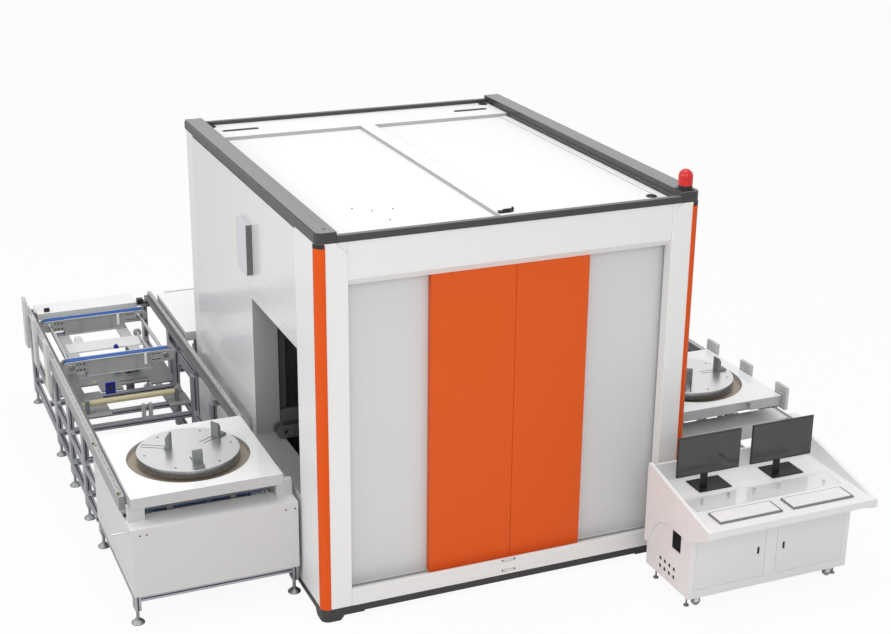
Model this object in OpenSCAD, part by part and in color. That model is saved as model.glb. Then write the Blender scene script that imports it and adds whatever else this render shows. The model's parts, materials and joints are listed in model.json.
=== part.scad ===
// Inline x-ray inspection cell: a lead-lined cabinet with two sliding front doors, a pallet
// transfer line on its left, an outfeed station on its right, a return line behind it and a
// free-standing operator console. Origin: on the floor, at the middle of the cabinet's footprint.
// +X runs to the right along the front, +Y to the back, +Z up. Millimetres.

/* [Cabinet] */
// Width of the cabinet over its side walls
cab_w = 2600; // [2500:10:2800]
// Depth of the cabinet
cab_d = 3100; // [3080:10:3400]
// Height to the top of the side rails
cab_h = 2600; // [2560:10:2800]
// Height of the black plinth
plinth_h = 90; // [70:5:120]
// Height of the relief under the plinth between its corner feet
relief_h = 42; // [20:1:50]
// Length of a plinth corner foot along each side
foot_l = 121; // [110:1:160]
// Length of the slope from a corner foot up to the relief
foot_slope = 33; // [20:1:50]
// Width of the plinth ring
ring_w = 100; // [80:5:110]
// Radius of the cabinet's vertical corners
corner_r = 52; // [40:1:60]
// Width of a corner post on the front and back
post_w = 198; // [180:1:220]
// Depth of a corner post's return behind its front face
post_return = 84; // [70:1:90]
// Length of a front post's cover along the side wall
post_side = 408; // [380:1:440]
// Length of a back post's cover along the side wall
back_post_side = 198; // [150:1:240]
// Width of an orange corner strip on each face
strip_w = 57; // [50:1:70]
// Height a corner strip stands proud
strip_t = 3; // [2:0.5:5]
// Height of the header fascia's flat face
header_face = 239; // [200:1:260]
// Depth and drop of the bevel under the header
header_bevel = 58; // [40:1:60]
// Height of the sill plate above the plinth
sill_h = 120; // [100:1:140]
// Height of the door gutter above the plinth
gutter_h = 88; // [70:1:95]
// Distance of the recessed front wall behind the front plane
recess_d = 118; // [116:1:140]
// Thickness of the lead-lined walls
wall_t = 60; // [50:1:80]
// Height of the black top rails
rail_h = 70; // [60:1:90]
// Width of the side top rails
side_rail_w = 132; // [110:1:150]
// Width of the front and back top rails
end_rail_w = 40; // [30:1:60]
// Drop of the front and back top rails below the side rails
end_rail_drop = 26; // [10:1:35]
// Height of the raised roof strip above the top rails' underside
roof_strip_h = 16; // [10:1:30]
// Depth of the recessed roof panels below the strip
roof_step = 30; // [20:1:40]
// Width of the raised bar between the roof panels
roof_bar_w = 115; // [90:1:140]
// Depth of the raised strip at the back of the roof
roof_strip_d = 400; // [300:5:440]

/* [Front doors] */
// Distance of the first door edge from the cabinet's left side
door_start = 756; // [740:1:780]
// Width of the left door leaf
left_leaf_w = 576; // [540:1:580]
// Width of the right door leaf
right_leaf_w = 512; // [490:1:520]
// Distance of the door faces behind the front plane
door_face_d = 60; // [59:1:62]
// Thickness of a door leaf
leaf_t = 52; // [48:1:52]
// Gap at the seam between the leaves
seam = 2; // [1:0.5:3]
// Height of the doorway in the front wall above the plinth
doorway_h = 2080; // [2000:10:2100]
// Overlap of a leaf over the doorway edge
leaf_lap = 60; // [50:1:80]

/* [Tunnels] */
// Distance of the tunnel mouth from the front plane
tunnel_start = 409; // [400:1:420]
// Length of the tunnel mouth along the side wall
tunnel_l = 1000; // [996:1:1020]
// Height of the tunnel mouth's top
tunnel_top = 1738; // [1650:1:1760]
// Height of the tunnel floor
tunnel_floor = 720; // [700:1:721]
// Depth of the tunnel liner from the outside of the wall
liner_d = 173; // [160:1:185]
// Thickness of the liner sheet
liner_t = 3; // [2:0.5:4]
// Thickness of a tunnel shutter
shutter_t = 46; // [40:1:50]
// Height of the shutter's lower edge
shutter_low = 892; // [888:1:900]

/* [Pallets] */
// Pallet size across the line
pallet_w = 980; // [960:1:984]
// Pallet size along the line
pallet_l = 984; // [960:1:986]
// Pallet thickness
pallet_t = 75; // [60:1:80]
// Height of a pallet's top
pallet_top = 895; // [890:1:900]
// Radius of the round well in a pallet
well_r = 400; // [380:1:410]
// Thickness of the well's floor plate
well_floor_t = 8; // [6:1:12]
// Depth of the well's floor below the pallet's top
well_drop = 35; // [25:1:45]
// Radius of the turntable
table_r = 335; // [320:1:350]
// Height of the turntable over the pallet's top
table_rise = 45; // [35:1:55]
// Thickness of the turntable
table_t = 54; // [50:1:56]
// Distance of the loading pallet's centre from the front plane
load_y = 908; // [906:1:910]
// Distance of the outfeed pallet's centre from the front plane
outfeed_y = 799; // [780:1:830]
// Gap between the cabinet side and the loading pallet
load_gap = 113; // [105:1:130]
// Gap between the cabinet side and the outfeed pallet
outfeed_gap = 8; // [6:1:20]

/* [Jaws] */
// Height of a clamping jaw over the turntable
jaw_h = 100; // [80:1:120]
// Width of a jaw
jaw_w = 66; // [56:1:80]
// Thickness of a jaw at its root
jaw_t = 26; // [20:1:32]
// Length of a jaw's foot
jaw_foot = 50; // [40:1:54]
// Inner end of the jaw slots from the table's centre
slot_in = 121; // [110:1:130]
// Outer end of the jaw slots from the table's centre
slot_out = 320; // [315:1:325]
// Width of a jaw slot
slot_w = 7; // [5:0.5:9]
// Distance between the two slots of a jaw
slot_pitch = 36; // [30:1:44]

/* [Line] */
// Profile bar of the line's frames
bar = 80; // [60:5:90]
// Slot width in the profile bars
bar_slot = 10; // [8:1:12]
// Slot depth in the profile bars
bar_slot_d = 7; // [5:1:10]
// Height of the lower beams
beam_low = 168; // [150:1:180]
// Height of the middle beams
beam_mid = 403; // [390:1:420]
// Length of the side line from the front plane
line_end = 4300; // [4250:10:4500]
// Width of a side rail
rail_w = 41; // [36:1:50]
// Height of a side rail
rail_tall = 96; // [80:1:110]
// Top of the side rails
rail_top = 852; // [840:1:855]
// Front face of the station cover from the front plane
cover_y = 400; // [380:1:410]
// Lower edge of the station cover
cover_low = 216; // [200:1:240]
// Top of the station cover
cover_top = 687; // [660:1:700]
// Depth of the station cover's top face
cover_d = 195; // [180:1:210]
// Radius of a levelling foot
foot_r = 43; // [40:1:60]

/* [Cross transfer] */
// Front side plate of the near belt unit, from the front plane
near_belt_y = 2995; // [2980:1:3010]
// Front side plate of the far belt unit, from the front plane
far_belt_y = 3945; // [3900:1:3960]
// Height of the belt unit's axle
belt_axle_z = 771.7; // [765:0.1:775]
// Distance of the far axle of a belt unit from the near side rail
axle_gap = 152; // [145:1:180]
// Radius of the belt over its pulleys
belt_r = 48; // [44:1:50]
// Width of a belt
belt_w = 60; // [40:1:70]
// Thickness of a belt
belt_t = 5; // [4:0.5:8]
// Lift of the cross transfer
lift_travel = 38; // [30:1:38]

/* [Console] */
// Width of the console's body
con_w = 1229; // [1180:1:1300]
// Left side of the console from the cabinet's left side
con_x = 2230; // [2200:5:2300]
// Front of the console's body ahead of the front plane
con_front = 745; // [700:5:800]
// Depth of the console's body
con_d = 540; // [500:5:560]
// Height of the desk top
desk_z = 690; // [660:1:720]
// Thickness of the desk top
desk_t = 30; // [25:1:50]
// Overhang of the desk ahead of the body
desk_over = 225; // [200:1:250]
// Thickness of the console's side panels
side_t = 25; // [20:1:30]
// Height of the side panels at the back
side_h = 836; // [800:1:860]
// Ground clearance of the body
con_low = 90; // [80:1:100]
// Monitor width
mon_w = 474; // [440:1:500]
// Monitor height
mon_h = 280; // [260:1:300]
// Monitor thickness
mon_t = 14; // [12:1:20]
// Height of a monitor's lower edge over the desk
mon_rise = 128; // [110:1:150]

/* [Hidden] */
$fn = 48;

// Clearances and overruns
fit = 0.3;
cut = 2;
sheet = 3;

// Planes of the cabinet
x_left = -cab_w / 2;
x_right = cab_w / 2;
y_front = -cab_d / 2;
y_back = cab_d / 2;
z_rail = cab_h - rail_h;
z_sill = plinth_h + sill_h;
z_gutter = plinth_h + gutter_h;
z_header = z_rail - header_face;
z_door_top = z_header - header_bevel + leaf_lap - fit;
wall_y = y_front + recess_d;
rear_y = y_back - wall_t;
roof_z = z_rail + roof_strip_h;
roof_low = roof_z - roof_step;

// A box from its low corner to its high corner
module slab(lo, hi) {
  translate(lo) cube([hi[0] - lo[0], hi[1] - lo[1], hi[2] - lo[2]]);
}

// A slotted profile bar from lo along one axis; w is its breadth, h its height
module bar_section(w, h) {
  pitch = bar / 2;
  nw = max(1, floor(w / pitch));
  nh = max(1, floor(h / pitch));
  difference() {
    square([w, h]);
    for (i = [0 : nw - 1], side = [0, 1])
      translate([w / nw * (i + 1 / 2) - bar_slot / 2, side * (h - bar_slot_d)])
        translate([0, side ? 0 : -cut]) square([bar_slot, bar_slot_d + cut]);
    for (i = [0 : nh - 1], side = [0, 1])
      translate([side * (w - bar_slot_d), h / nh * (i + 1 / 2) - bar_slot / 2])
        translate([side ? 0 : -cut, 0]) square([bar_slot_d + cut, bar_slot]);
  }
}
module bar_x(x0, x1, y, z, w = bar, h = bar) {
  translate([x0, y, z]) rotate([90, 0, 90]) linear_extrude(x1 - x0) bar_section(w, h);
}
module bar_y(x, y0, y1, z, w = bar, h = bar) {
  translate([x + w, y0, z]) rotate([90, 0, 180]) linear_extrude(y1 - y0) bar_section(w, h);
}
module bar_z(x, y, z0, z1, w = bar, h = bar) {
  translate([x, y, z0]) linear_extrude(z1 - z0) bar_section(w, h);
}
// The same piece on both sides of the cabinet
module both_sides() {
  for (side = [0, 1]) mirror([side, 0, 0]) children();
}

// Cabinet

anchor_inset = 190;
anchor_r = 9;
pad_t = 12;
pad_over = 60;
pad_w = anchor_inset + pad_over;
module rounded_plan(inset, r) {
  w = cab_w / 2 - inset;
  d = cab_d / 2 - inset;
  square([2 * w - 2 * r, 2 * d], center = true);
  square([2 * w, 2 * d - 2 * r], center = true);
  for (x = [-1, 1], y = [-1, 1]) translate([x * (w - r), y * (d - r)]) circle(r);
}
module relief_prism(half, reach) {
  translate([0, reach, 0]) rotate([90, 0, 0]) linear_extrude(2 * reach)
    polygon([[-half + foot_l, -cut], [half - foot_l, -cut], [half - foot_l, 0],
      [half - foot_l - foot_slope, relief_h], [-half + foot_l + foot_slope, relief_h],
      [-half + foot_l, 0]]);
}
module plinth() {
  color("#424241") difference() {
    union() {
      difference() {
        linear_extrude(plinth_h) rounded_plan(0, corner_r);
        difference() {
          relief_prism(cab_w / 2, cab_d);
          for (x = [-1, 1]) translate([x * (cab_w / 2), 0, 0])
            cube([2 * ring_w, 2 * cab_d, 3 * plinth_h], center = true);
        }
        difference() {
          rotate([0, 0, 90]) relief_prism(cab_d / 2, cab_w);
          for (y = [-1, 1]) translate([0, y * (cab_d / 2), 0])
            cube([2 * cab_w, 2 * ring_w, 3 * plinth_h], center = true);
        }
        translate([-cab_w / 2 + ring_w, -cab_d / 2 + ring_w, -cut])
          cube([cab_w - 2 * ring_w, cab_d - 2 * ring_w, plinth_h + 2 * cut]);
      }
      for (x = [-1, 1], y = [-1, 1])
        translate([x * (cab_w / 2 - pad_w / 2 - corner_r), y * (cab_d / 2 - pad_w / 2 - corner_r),
          pad_t / 2]) cube([pad_w, pad_w, pad_t], center = true);
    }
    for (x = [-1, 1], y = [-1, 1])
      translate([x * (cab_w / 2 - anchor_inset), y * (cab_d / 2 - anchor_inset), -cut])
        cylinder(h = plinth_h, r = anchor_r);
  }
}

floor_t = 10;
floor_lap = 30;
module floor_plate() {
  color("#8A8C8C") slab([x_left + ring_w - floor_lap, wall_y, plinth_h],
    [x_right - ring_w + floor_lap, y_back - post_return - fit, plinth_h + floor_t]);
}

// Corner post: front flange, return and side cover, with a round outer corner
post_t = 30;
chamfer_x = 73;
chamfer_z = 76;
module post_plan(side) {
  difference() {
    union() {
      translate([corner_r, 0]) square([post_w - corner_r, post_t]);
      translate([0, corner_r]) square([post_t, side - corner_r]);
      translate([post_w - post_t, 0]) square([post_t, post_return]);
      intersection() {
        translate([corner_r, corner_r]) circle(corner_r);
        square([corner_r, corner_r]);
      }
    }
    translate([corner_r, corner_r]) circle(corner_r - post_t);
  }
}
module front_post() {
  difference() {
    translate([x_left, y_front, plinth_h]) linear_extrude(z_rail - plinth_h) post_plan(post_side);
    translate([x_left + post_w, y_front - cut, z_rail]) rotate([-90, 0, 0])
      linear_extrude(post_return + 2 * cut)
        polygon([[-chamfer_x, -cut], [cut, -cut], [cut, chamfer_z], [0, chamfer_z],
          [-chamfer_x, 0]]);
  }
}
module back_post() {
  translate([x_left, y_back, plinth_h]) mirror([0, 1, 0])
    linear_extrude(z_rail - plinth_h) post_plan(back_post_side);
}
module corner_posts() {
  color("#E6E6E5") both_sides() {
    front_post();
    back_post();
  }
}

strip_drop = 12;
strip_top = z_rail - strip_drop;
module strip_plan() {
  r = corner_r + strip_t;
  difference() {
    union() {
      translate([r, 0]) square([strip_w - r + strip_t, strip_t]);
      translate([0, r]) square([strip_t, strip_w - r + strip_t]);
      intersection() {
        translate([r, r]) circle(r);
        square([r, r]);
      }
    }
    translate([r, r]) circle(corner_r + fit / 3);
  }
}
module corner_strips() {
  color("#DC581F") both_sides()
    translate([x_left - strip_t, y_front - strip_t, plinth_h])
      linear_extrude(strip_top - plinth_h) strip_plan();
}

// Header and sill run between the front posts
header_set = 8;
module fascia(points) {
  length = cab_w - 2 * (post_w + fit);
  translate([-length / 2, y_front, 0]) rotate([90, 0, 90]) linear_extrude(length) polygon(points);
}
module front_fascias() {
  z_low = z_header - header_bevel + header_set;
  color("#E6E6E5") {
    fascia([[header_set, z_header], [header_set, z_rail], [header_set + sheet, z_rail],
      [header_set + sheet, z_header]]);
    fascia([[header_set, z_header - fit], [header_bevel, z_low], [header_bevel, z_low + sheet],
      [header_set + sheet, z_header - fit]]);
    fascia([[header_set + sheet + fit, roof_low - fit - sheet], [header_set + sheet + fit, roof_low - fit],
      [recess_d - fit, roof_low - fit], [recess_d - fit, roof_low - fit - sheet]]);
    for (side = [0, 1]) mirror([side, 0, 0])
      translate([x_left + post_w, y_front + header_set + sheet, z_rail]) rotate([90, 0, 0])
        linear_extrude(sheet) polygon([[-fit, 0], [-chamfer_x + 2 * fit, 0], [-fit, -chamfer_z + 2 * fit]]);
    difference() {
      fascia([[0, plinth_h], [0, z_gutter], [recess_d - fit, z_gutter], [recess_d - fit, plinth_h]]);
      screw_pair(1 / 4);
    }
    difference() {
      fascia([[0, z_gutter + fit], [0, z_sill], [sill_lip, z_sill], [sill_lip, z_gutter + fit]]);
      screw_pair(7 / 8);
    }
  }
}
module screw_pair(up) {
  for (x = [-1, 1]) translate([x * screw_span / 2, y_front - cut, plinth_h + sill_h * up])
    rotate([-90, 0, 0]) cylinder(h = screw_deep + cut, r = screw_r);
}
sill_lip = 14;
screw_span = 90;
screw_deep = 5;
screw_r = 6;

// The recessed wall beside the doorway, one panel each side, and the beam over it
module front_walls() {
  lx = x_left + door_start + leaf_lap;
  rx = x_left + door_start + left_leaf_w + seam + right_leaf_w - leaf_lap;
  top = plinth_h + gutter_h + doorway_h;
  color("#CFD2D2") {
    slab([x_left + wall_t + fit, wall_y, plinth_h + floor_t + fit],
      [lx, wall_y + wall_t, roof_low - fit]);
    slab([rx, wall_y, plinth_h + floor_t + fit],
      [x_right - wall_t - fit, wall_y + wall_t, roof_low - fit]);
    slab([lx + fit, wall_y, top], [rx - fit, wall_y + wall_t, roof_low - fit]);
    slab([lx + fit, wall_y, plinth_h + floor_t + fit],
      [rx - fit, wall_y + wall_t, z_gutter]);
  }
}

// Side wall: a panel over the tunnel, one under it and one behind it, joined as one sheet
groove = 3;
line_z1 = 62;
line_z2 = 226;
box_y0_share = 0.432;
box_y1_share = 0.504;
box_drop = 320;
box_tall = 360;
box_z1 = cab_h - box_drop;
box_z0 = box_z1 - box_tall;
box_t = 48;
module side_wall() {
  y0 = y_front + post_side + fit;
  y1 = y_back - back_post_side - fit;
  difference() {
    slab([x_left, y0, plinth_h], [x_left + wall_t, y1, roof_low - fit]);
    slab([x_left - cut, y_front + tunnel_start, tunnel_floor],
      [x_left + wall_t + cut, y_front + tunnel_start + tunnel_l, tunnel_top]);
    slab([x_left - cut, y0 - cut, tunnel_top + line_z1],
      [x_left + groove, y_front + tunnel_start + tunnel_l + leaf_lap, tunnel_top + line_z1 + groove]);
    slab([x_left - cut, y_front + tunnel_start + tunnel_l / 4, tunnel_top + line_z2],
      [x_left + groove, y_front + tunnel_start + tunnel_l * 3 / 4,
        tunnel_top + line_z2 + groove]);
  }
}
module left_wall() {
  color("#ECECEB") {
    side_wall();
    slab([x_left - box_t, y_front + cab_d * box_y0_share, box_z0],
      [x_left - fit / 3, y_front + cab_d * box_y1_share, box_z1]);
  }
}
module right_wall() {
  color("#ECECEB") mirror([1, 0, 0]) side_wall();
}
service_w = 900;
service_h = 1900;
module rear_wall() {
  color("#E6E6E5") difference() {
    slab([x_left + post_w + fit, rear_y, plinth_h],
      [x_right - post_w - fit, y_back, roof_low - fit]);
    difference() {
      translate([-service_w / 2, y_back - groove, z_sill]) cube([service_w, groove + cut, service_h]);
      translate([-service_w / 2 + groove, y_back - 2 * groove, z_sill + groove])
        cube([service_w - 2 * groove, 3 * groove + cut, service_h - 2 * groove]);
    }
  }
}

// Roof: two recessed panels, a raised bar between them and a raised strip behind
lift_hole_r = 25;
module roof_panel() {
  x0 = x_left + side_rail_w + fit;
  y0 = y_front + end_rail_w + fit;
  y1 = y_back - end_rail_w - fit;
  z1 = roof_low + sheet;
  y2 = y1 - roof_strip_d;
  color("#FFFFFF") difference() {
    union() {
      slab([x_left + wall_t, y_front + recess_d, roof_low], [-x_left - wall_t, rear_y, z1]);
      slab([x0, y0, roof_low], [-x0, y1, z1]);
      slab([x0, y2, z1 + seam_t], [-x0, y1, roof_z]);
      slab([-roof_bar_w / 2, y0, z1 + seam_t], [roof_bar_w / 2, y2 - seam_t, roof_z]);
    }
    for (x = [-1, 1]) translate([x * (-x0 - 2 * lift_hole_r), y1 - 2 * lift_hole_r, roof_low - cut])
      cylinder(h = 2 * roof_step, r = lift_hole_r);
    for (x = [-1, 1]) translate([x * cab_w * grip_share, y1 - grip_back, roof_z - grip_deep])
      translate([-grip_l / 2, -grip_w / 2, 0]) cube([grip_l, grip_w, roof_step]);
    for (x = [0, 1], y = [0, 1]) mirror([x, 0, 0]) mirror([0, y, 0])
      slab([x_left, y_front, roof_low - cut],
        [x_left + post_w + fit, y_front + post_return + fit, z_rail + fit]);
  }
}
grip_share = 0.36;
grip_l = 270;
grip_w = 36;
grip_deep = 8;
grip_back = 210;

// Top rails, with two flush grips and the front bracket
rail_bevel = 12;
rail_hole_r = 8;
module side_rail_plan() {
  difference() {
    union() {
      translate([corner_r, 0]) square([side_rail_w - corner_r, corner_r]);
      translate([0, corner_r]) square([side_rail_w, cab_d - corner_r]);
      intersection() {
        translate([corner_r, corner_r]) circle(corner_r);
        square([corner_r, corner_r]);
      }
    }
    translate([corner_r * 3 / 2, corner_r * 3 / 2]) circle(rail_hole_r);
  }
}
module top_rails() {
  color("#424241") {
    both_sides() difference() {
      union() {
        translate([x_left, y_front, z_rail]) linear_extrude(rail_h - rail_bevel) side_rail_plan();
        translate([x_left, y_front, cab_h - rail_bevel]) linear_extrude(rail_bevel)
          difference() {
            side_rail_plan();
            translate([-cut, -cut]) square([rail_bevel / 2 + cut, cab_d + 2 * cut]);
          }
      }
      slab([x_left + side_rail_w - rail_bevel, y_front + side_rail_w, roof_z + fit],
        [x_left + side_rail_w + cut, y_back - side_rail_w, roof_z + rail_bevel * 2]);
    }
    for (y = [y_front, y_back - end_rail_w])
      slab([x_left + side_rail_w + fit, y, z_rail],
        [x_right - side_rail_w - fit, y + end_rail_w, cab_h - end_rail_drop]);
    for (x = [-1, 1])
      translate([x * cab_w * grip_share, y_back - end_rail_w - fit - grip_back, roof_z - grip_deep + fit])
        difference() {
          translate([-grip_l / 2 + fit, -grip_w / 2 + fit, 0])
            cube([grip_l - 2 * fit, grip_w - 2 * fit, grip_deep + 2 * fit]);
          translate([-grip_l / 2 + 2 * rail_bevel, -grip_w / 4, sheet])
            cube([grip_l - 4 * rail_bevel, grip_w / 2, grip_deep]);
        }
  }
}

// Beacon on the front right corner
beacon_in = 62;
beacon_x_in = 86;
beacon_r = 47;
beacon_block = 94;
beacon_block_h = 6;
beacon_collar_h = 26;
beacon_dome_h = 105;
module beacon_base() {
  color("#2E2E2E") translate([x_right - beacon_x_in, y_front + beacon_in, cab_h + fit / 3]) {
    translate([-beacon_block / 2, -beacon_block / 2, 0])
      cube([beacon_block, beacon_block, beacon_block_h]);
    translate([0, 0, beacon_block_h]) rotate_extrude() polygon([[0, 0],
      [beacon_r, 0], [beacon_r, beacon_collar_h / 4], [beacon_r - sheet, beacon_collar_h / 4],
      [beacon_r - sheet, beacon_collar_h / 2], [beacon_r, beacon_collar_h / 2],
      [beacon_r, beacon_collar_h * 3 / 4], [beacon_r - sheet, beacon_collar_h * 3 / 4],
      [beacon_r - sheet, beacon_collar_h], [0, beacon_collar_h]]);
  }
}
module beacon_dome() {
  z0 = cab_h + fit / 3 + beacon_block_h + beacon_collar_h + fit / 3;
  color("#D7191C") translate([x_right - beacon_x_in, y_front + beacon_in, z0]) {
    cylinder(h = beacon_dome_h - beacon_r, r = beacon_r);
    translate([0, 0, beacon_dome_h - beacon_r]) intersection() {
      sphere(beacon_r);
      cylinder(h = beacon_r, r = beacon_r);
    }
  }
}

// Front doors run on carriages on a rail in the header; a guide rib runs in the gutter
track_w = 24;
track_h = 28;
carriage_h = 34;
carriage_l = 140;
guide_h = 10;
guide_w = 12;
left_x0 = x_left + door_start;
left_x1 = left_x0 + left_leaf_w;
right_x0 = left_x1 + seam;
right_x1 = right_x0 + right_leaf_w;
door_y = y_front + door_face_d;
track_z = z_door_top + carriage_h + fit;
module carriage_plan() {
  difference() {
    square([leaf_t, carriage_h + track_h / 2]);
    translate([(leaf_t - track_w) / 2 - fit, carriage_h]) square([track_w + 2 * fit, track_h]);
  }
}
module door_leaf(x0, x1) {
  difference() {
    slab([x0, door_y, z_gutter + fit * 10], [x1, door_y + leaf_t, z_door_top]);
    slab([x0 - cut, door_y + leaf_t / 2 - guide_w / 2 - fit, z_gutter - cut],
      [x1 + cut, door_y + leaf_t / 2 + guide_w / 2 + fit, z_gutter + guide_h + fit]);
  }
  for (x = [x0 + carriage_l / 2, x1 - 3 / 2 * carriage_l])
    translate([x, door_y, z_door_top]) rotate([90, 0, 90]) linear_extrude(carriage_l) carriage_plan();
}
module left_door() {
  color("#D75C2D") door_leaf(left_x0, left_x1);
}
module right_door() {
  color("#D75C2D") door_leaf(right_x0, right_x1);
}
shutter_x = x_left + liner_d + fit * 30;
hook_h = 60;
shutter_gap = 12;
shutter_top = tunnel_top + hook_h;
module door_tracks() {
  color("#9A9D9E") {
    slab([x_left + post_w + wall_t, door_y + (leaf_t - track_w) / 2, track_z],
      [x_right - post_w - wall_t, door_y + (leaf_t + track_w) / 2, track_z + track_h]);
    slab([x_left + post_w + wall_t, door_y + (leaf_t + track_w) / 2 + fit, track_z + track_h / 2 + 2 * fit],
      [x_right - post_w - wall_t, wall_y - fit / 3, track_z + track_h]);
    slab([x_left + post_w + fit, door_y + leaf_t / 2 - guide_w / 2, z_gutter],
      [x_right - post_w - fit, door_y + leaf_t / 2 + guide_w / 2, z_gutter + guide_h]);
    both_sides() {
      slab([shutter_x + shutter_t / 2 - track_w / 2, wall_y + wall_t + fit, shutter_top - track_h / 2],
        [shutter_x + shutter_t / 2 + track_w / 2, y_front + tunnel_start + 2 * tunnel_l + 2 * leaf_lap,
          shutter_top + track_h / 2]);
      slab([x_left + wall_t + fit / 3, wall_y + wall_t + fit, shutter_top + track_h / 2 + fit / 3],
        [shutter_x + shutter_t, y_front + tunnel_start + 2 * tunnel_l + 2 * leaf_lap,
          shutter_top + track_h]);
    }
  }
}

// Grey sheet liner through each side wall, with a sloped floor lip
module tunnel_liner() {
  y0 = y_front + tunnel_start + fit;
  y1 = y_front + tunnel_start + tunnel_l - fit;
  difference() {
    slab([x_left + fit, y0, tunnel_floor + fit], [x_left + liner_d, y1, tunnel_top - fit]);
    slab([x_left - cut, y0 + liner_t, tunnel_floor + fit + liner_t],
      [x_left + liner_d + cut, y1 - liner_t, tunnel_top - fit - liner_t]);
  }
}
module tunnel_liners() {
  color("#8B8E8E") both_sides() tunnel_liner();
}
module shutter() {
  y0 = y_front + tunnel_start + tunnel_l + shutter_gap;
  difference() {
    slab([shutter_x, y0, shutter_low], [shutter_x + shutter_t, y0 + tunnel_l, shutter_top]);
    slab([shutter_x + (shutter_t - track_w) / 2 - fit, y0 - cut, shutter_top - track_h / 2 - fit],
      [shutter_x + (shutter_t + track_w) / 2 + fit, y0 + tunnel_l + cut, shutter_top + cut]);
  }
}
module left_shutter() {
  color("#5E6264") shutter();
}
module right_shutter() {
  color("#5E6264") mirror([1, 0, 0]) shutter();
}

// Belt unit: a channel with ribs between two end plates with round noses
plate_t = 10;
rib_t = 8;
chan_d = 14;
chan_t = 4;
axle_r = 14;
nose_r = 46;
nose_x = 22;
feed_in = 98;
plate_l = 165;
bolt_hole_r = 5;
slot_l = 22;
module end_plate(tension) {
  difference() {
    union() {
      translate([-nose_x, -nose_r]) square([plate_l - nose_r + nose_x, 2 * nose_r]);
      translate([-nose_x, 0]) circle(nose_r);
    }
    circle(axle_r + fit);
    if (tension) for (x = [1, 2], z = [-1, 1])
      translate([plate_l / 4 * x, z * nose_r / 2]) {
        translate([0, -bolt_hole_r]) square([slot_l, 2 * bolt_hole_r]);
        circle(bolt_hole_r);
        translate([slot_l, 0]) circle(bolt_hole_r);
      }
    else for (x = [0, 1], z = [-1, 0, 1])
      translate([plate_l * 3 / 8 + x * plate_l / 5, z * nose_r * 5 / 8]) circle(bolt_hole_r);
  }
}
// One side of the unit's beam: a channel open to the outside, with two ribs
module side_channel(length, low) {
  rotate([90, 0, 90]) linear_extrude(length)
    polygon([[0, -low], [chan_d, -low], [chan_d, nose_r], [0, nose_r], [0, nose_r - rib_t],
      [chan_d - chan_t, nose_r - rib_t], [chan_d - chan_t, rib_t - low], [0, rib_t - low]]);
  for (k = [1, 3]) translate([length * k / 4, 0, rib_t + fit - low])
    cube([rib_t, chan_d - chan_t - fit, nose_r + low - 2 * rib_t - 2 * fit]);
}
// One belt unit along X from the axle at the origin; its front face is at y = 0
module belt_unit(length, depth, low) {
  mid0 = plate_l - nose_r + fit;
  mid = length - 2 * mid0;
  for (end = [0, 1]) translate([end ? length : 0, 0, 0]) mirror([end, 0, 0])
    for (y = [0, depth - plate_t]) translate([0, y + plate_t, 0]) rotate([90, 0, 0])
      linear_extrude(plate_t) end_plate(end);
  translate([mid0, 0, 0]) side_channel(mid, low);
  translate([mid0, depth, 0]) mirror([0, 1, 0]) side_channel(mid, low);
  translate([mid0, chan_d + fit, -low]) cube([mid, depth - 2 * chan_d - 2 * fit, rib_t]);
}
module belt_loop(length, w, r = belt_r) {
  rotate([90, 0, 0]) translate([0, 0, -w]) linear_extrude(w) difference() {
    union() {
      translate([0, -r]) square([length, 2 * r]);
      circle(r);
      translate([length, 0]) circle(r);
    }
    translate([0, -r + belt_t]) square([length, 2 * r - 2 * belt_t]);
    circle(r - belt_t);
    translate([length, 0]) circle(r - belt_t);
  }
}

// Inner conveyor: two belt units under the pallet's edges, on legs
unit_drop = 91;
unit_d = 96;
inner_x0 = x_left + liner_d + nose_x / 4;
inner_l = -2 * inner_x0;
guide_up = 64;
guide_in = 30;
front_unit_y = y_front + load_y - pallet_l / 2 + guide_in;
back_unit_y = y_front + load_y + pallet_l / 2 - guide_in - unit_d;
module inner_conveyor() {
  legs = [inner_x0 + plate_l, inner_x0 + inner_l - plate_l - bar];
  guide_y = back_unit_y + unit_d + guide_in + 3 * fit;
  color("#7E8182") {
    for (y = [front_unit_y, back_unit_y]) {
      translate([inner_x0, y, belt_axle_z]) belt_unit(inner_l, unit_d, unit_drop);
      for (x = legs) bar_z(x, y + (unit_d - bar) / 2, plinth_h + floor_t + fit,
        belt_axle_z - unit_drop - fit);
    }
    slab([inner_x0, guide_y, belt_axle_z], [inner_x0 + inner_l, guide_y + guide_in, pallet_z + guide_up]);
    for (x = legs) slab([x, back_unit_y + unit_d + fit, belt_axle_z - nose_r],
      [x + bar, guide_y - fit, belt_axle_z + nose_r]);
  }
}

// X-ray gantry: two columns with a head beam behind the pallet path
column = 160;
column_gap = 900;
column_at = 1700;
column_y = y_front + column_at;
column_drop = 76;
column_top = roof_low - column_drop;
slide_w = 30;
slide_h = 24;
module gantry_frame() {
  color("#B9BCBD") {
    for (x = [-1, 1]) {
      translate([x * column_gap / 2, 0, 0]) {
        slab([-column / 2, column_y, plinth_h + floor_t], [column / 2, column_y + column, column_top]);
        slab([-column, column_y - slide_h * 3, plinth_h + floor_t],
          [column, column_y - fit, plinth_h + 3 * floor_t]);
        slab([-slide_w / 2, column_y - slide_h, plinth_h + 4 * floor_t],
          [slide_w / 2, column_y - fit / 3, column_top]);
      }
    }
    slab([-column_gap / 2 + column / 2 + fit, column_y, column_top - column],
      [column_gap / 2 - column / 2 - fit, column_y + column, column_top]);
  }
}
hub_z = 1250;
hub_r = 110;
plate_gap = 12;
carriage_t = 50;
carriage_half_h = 260;
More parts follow.
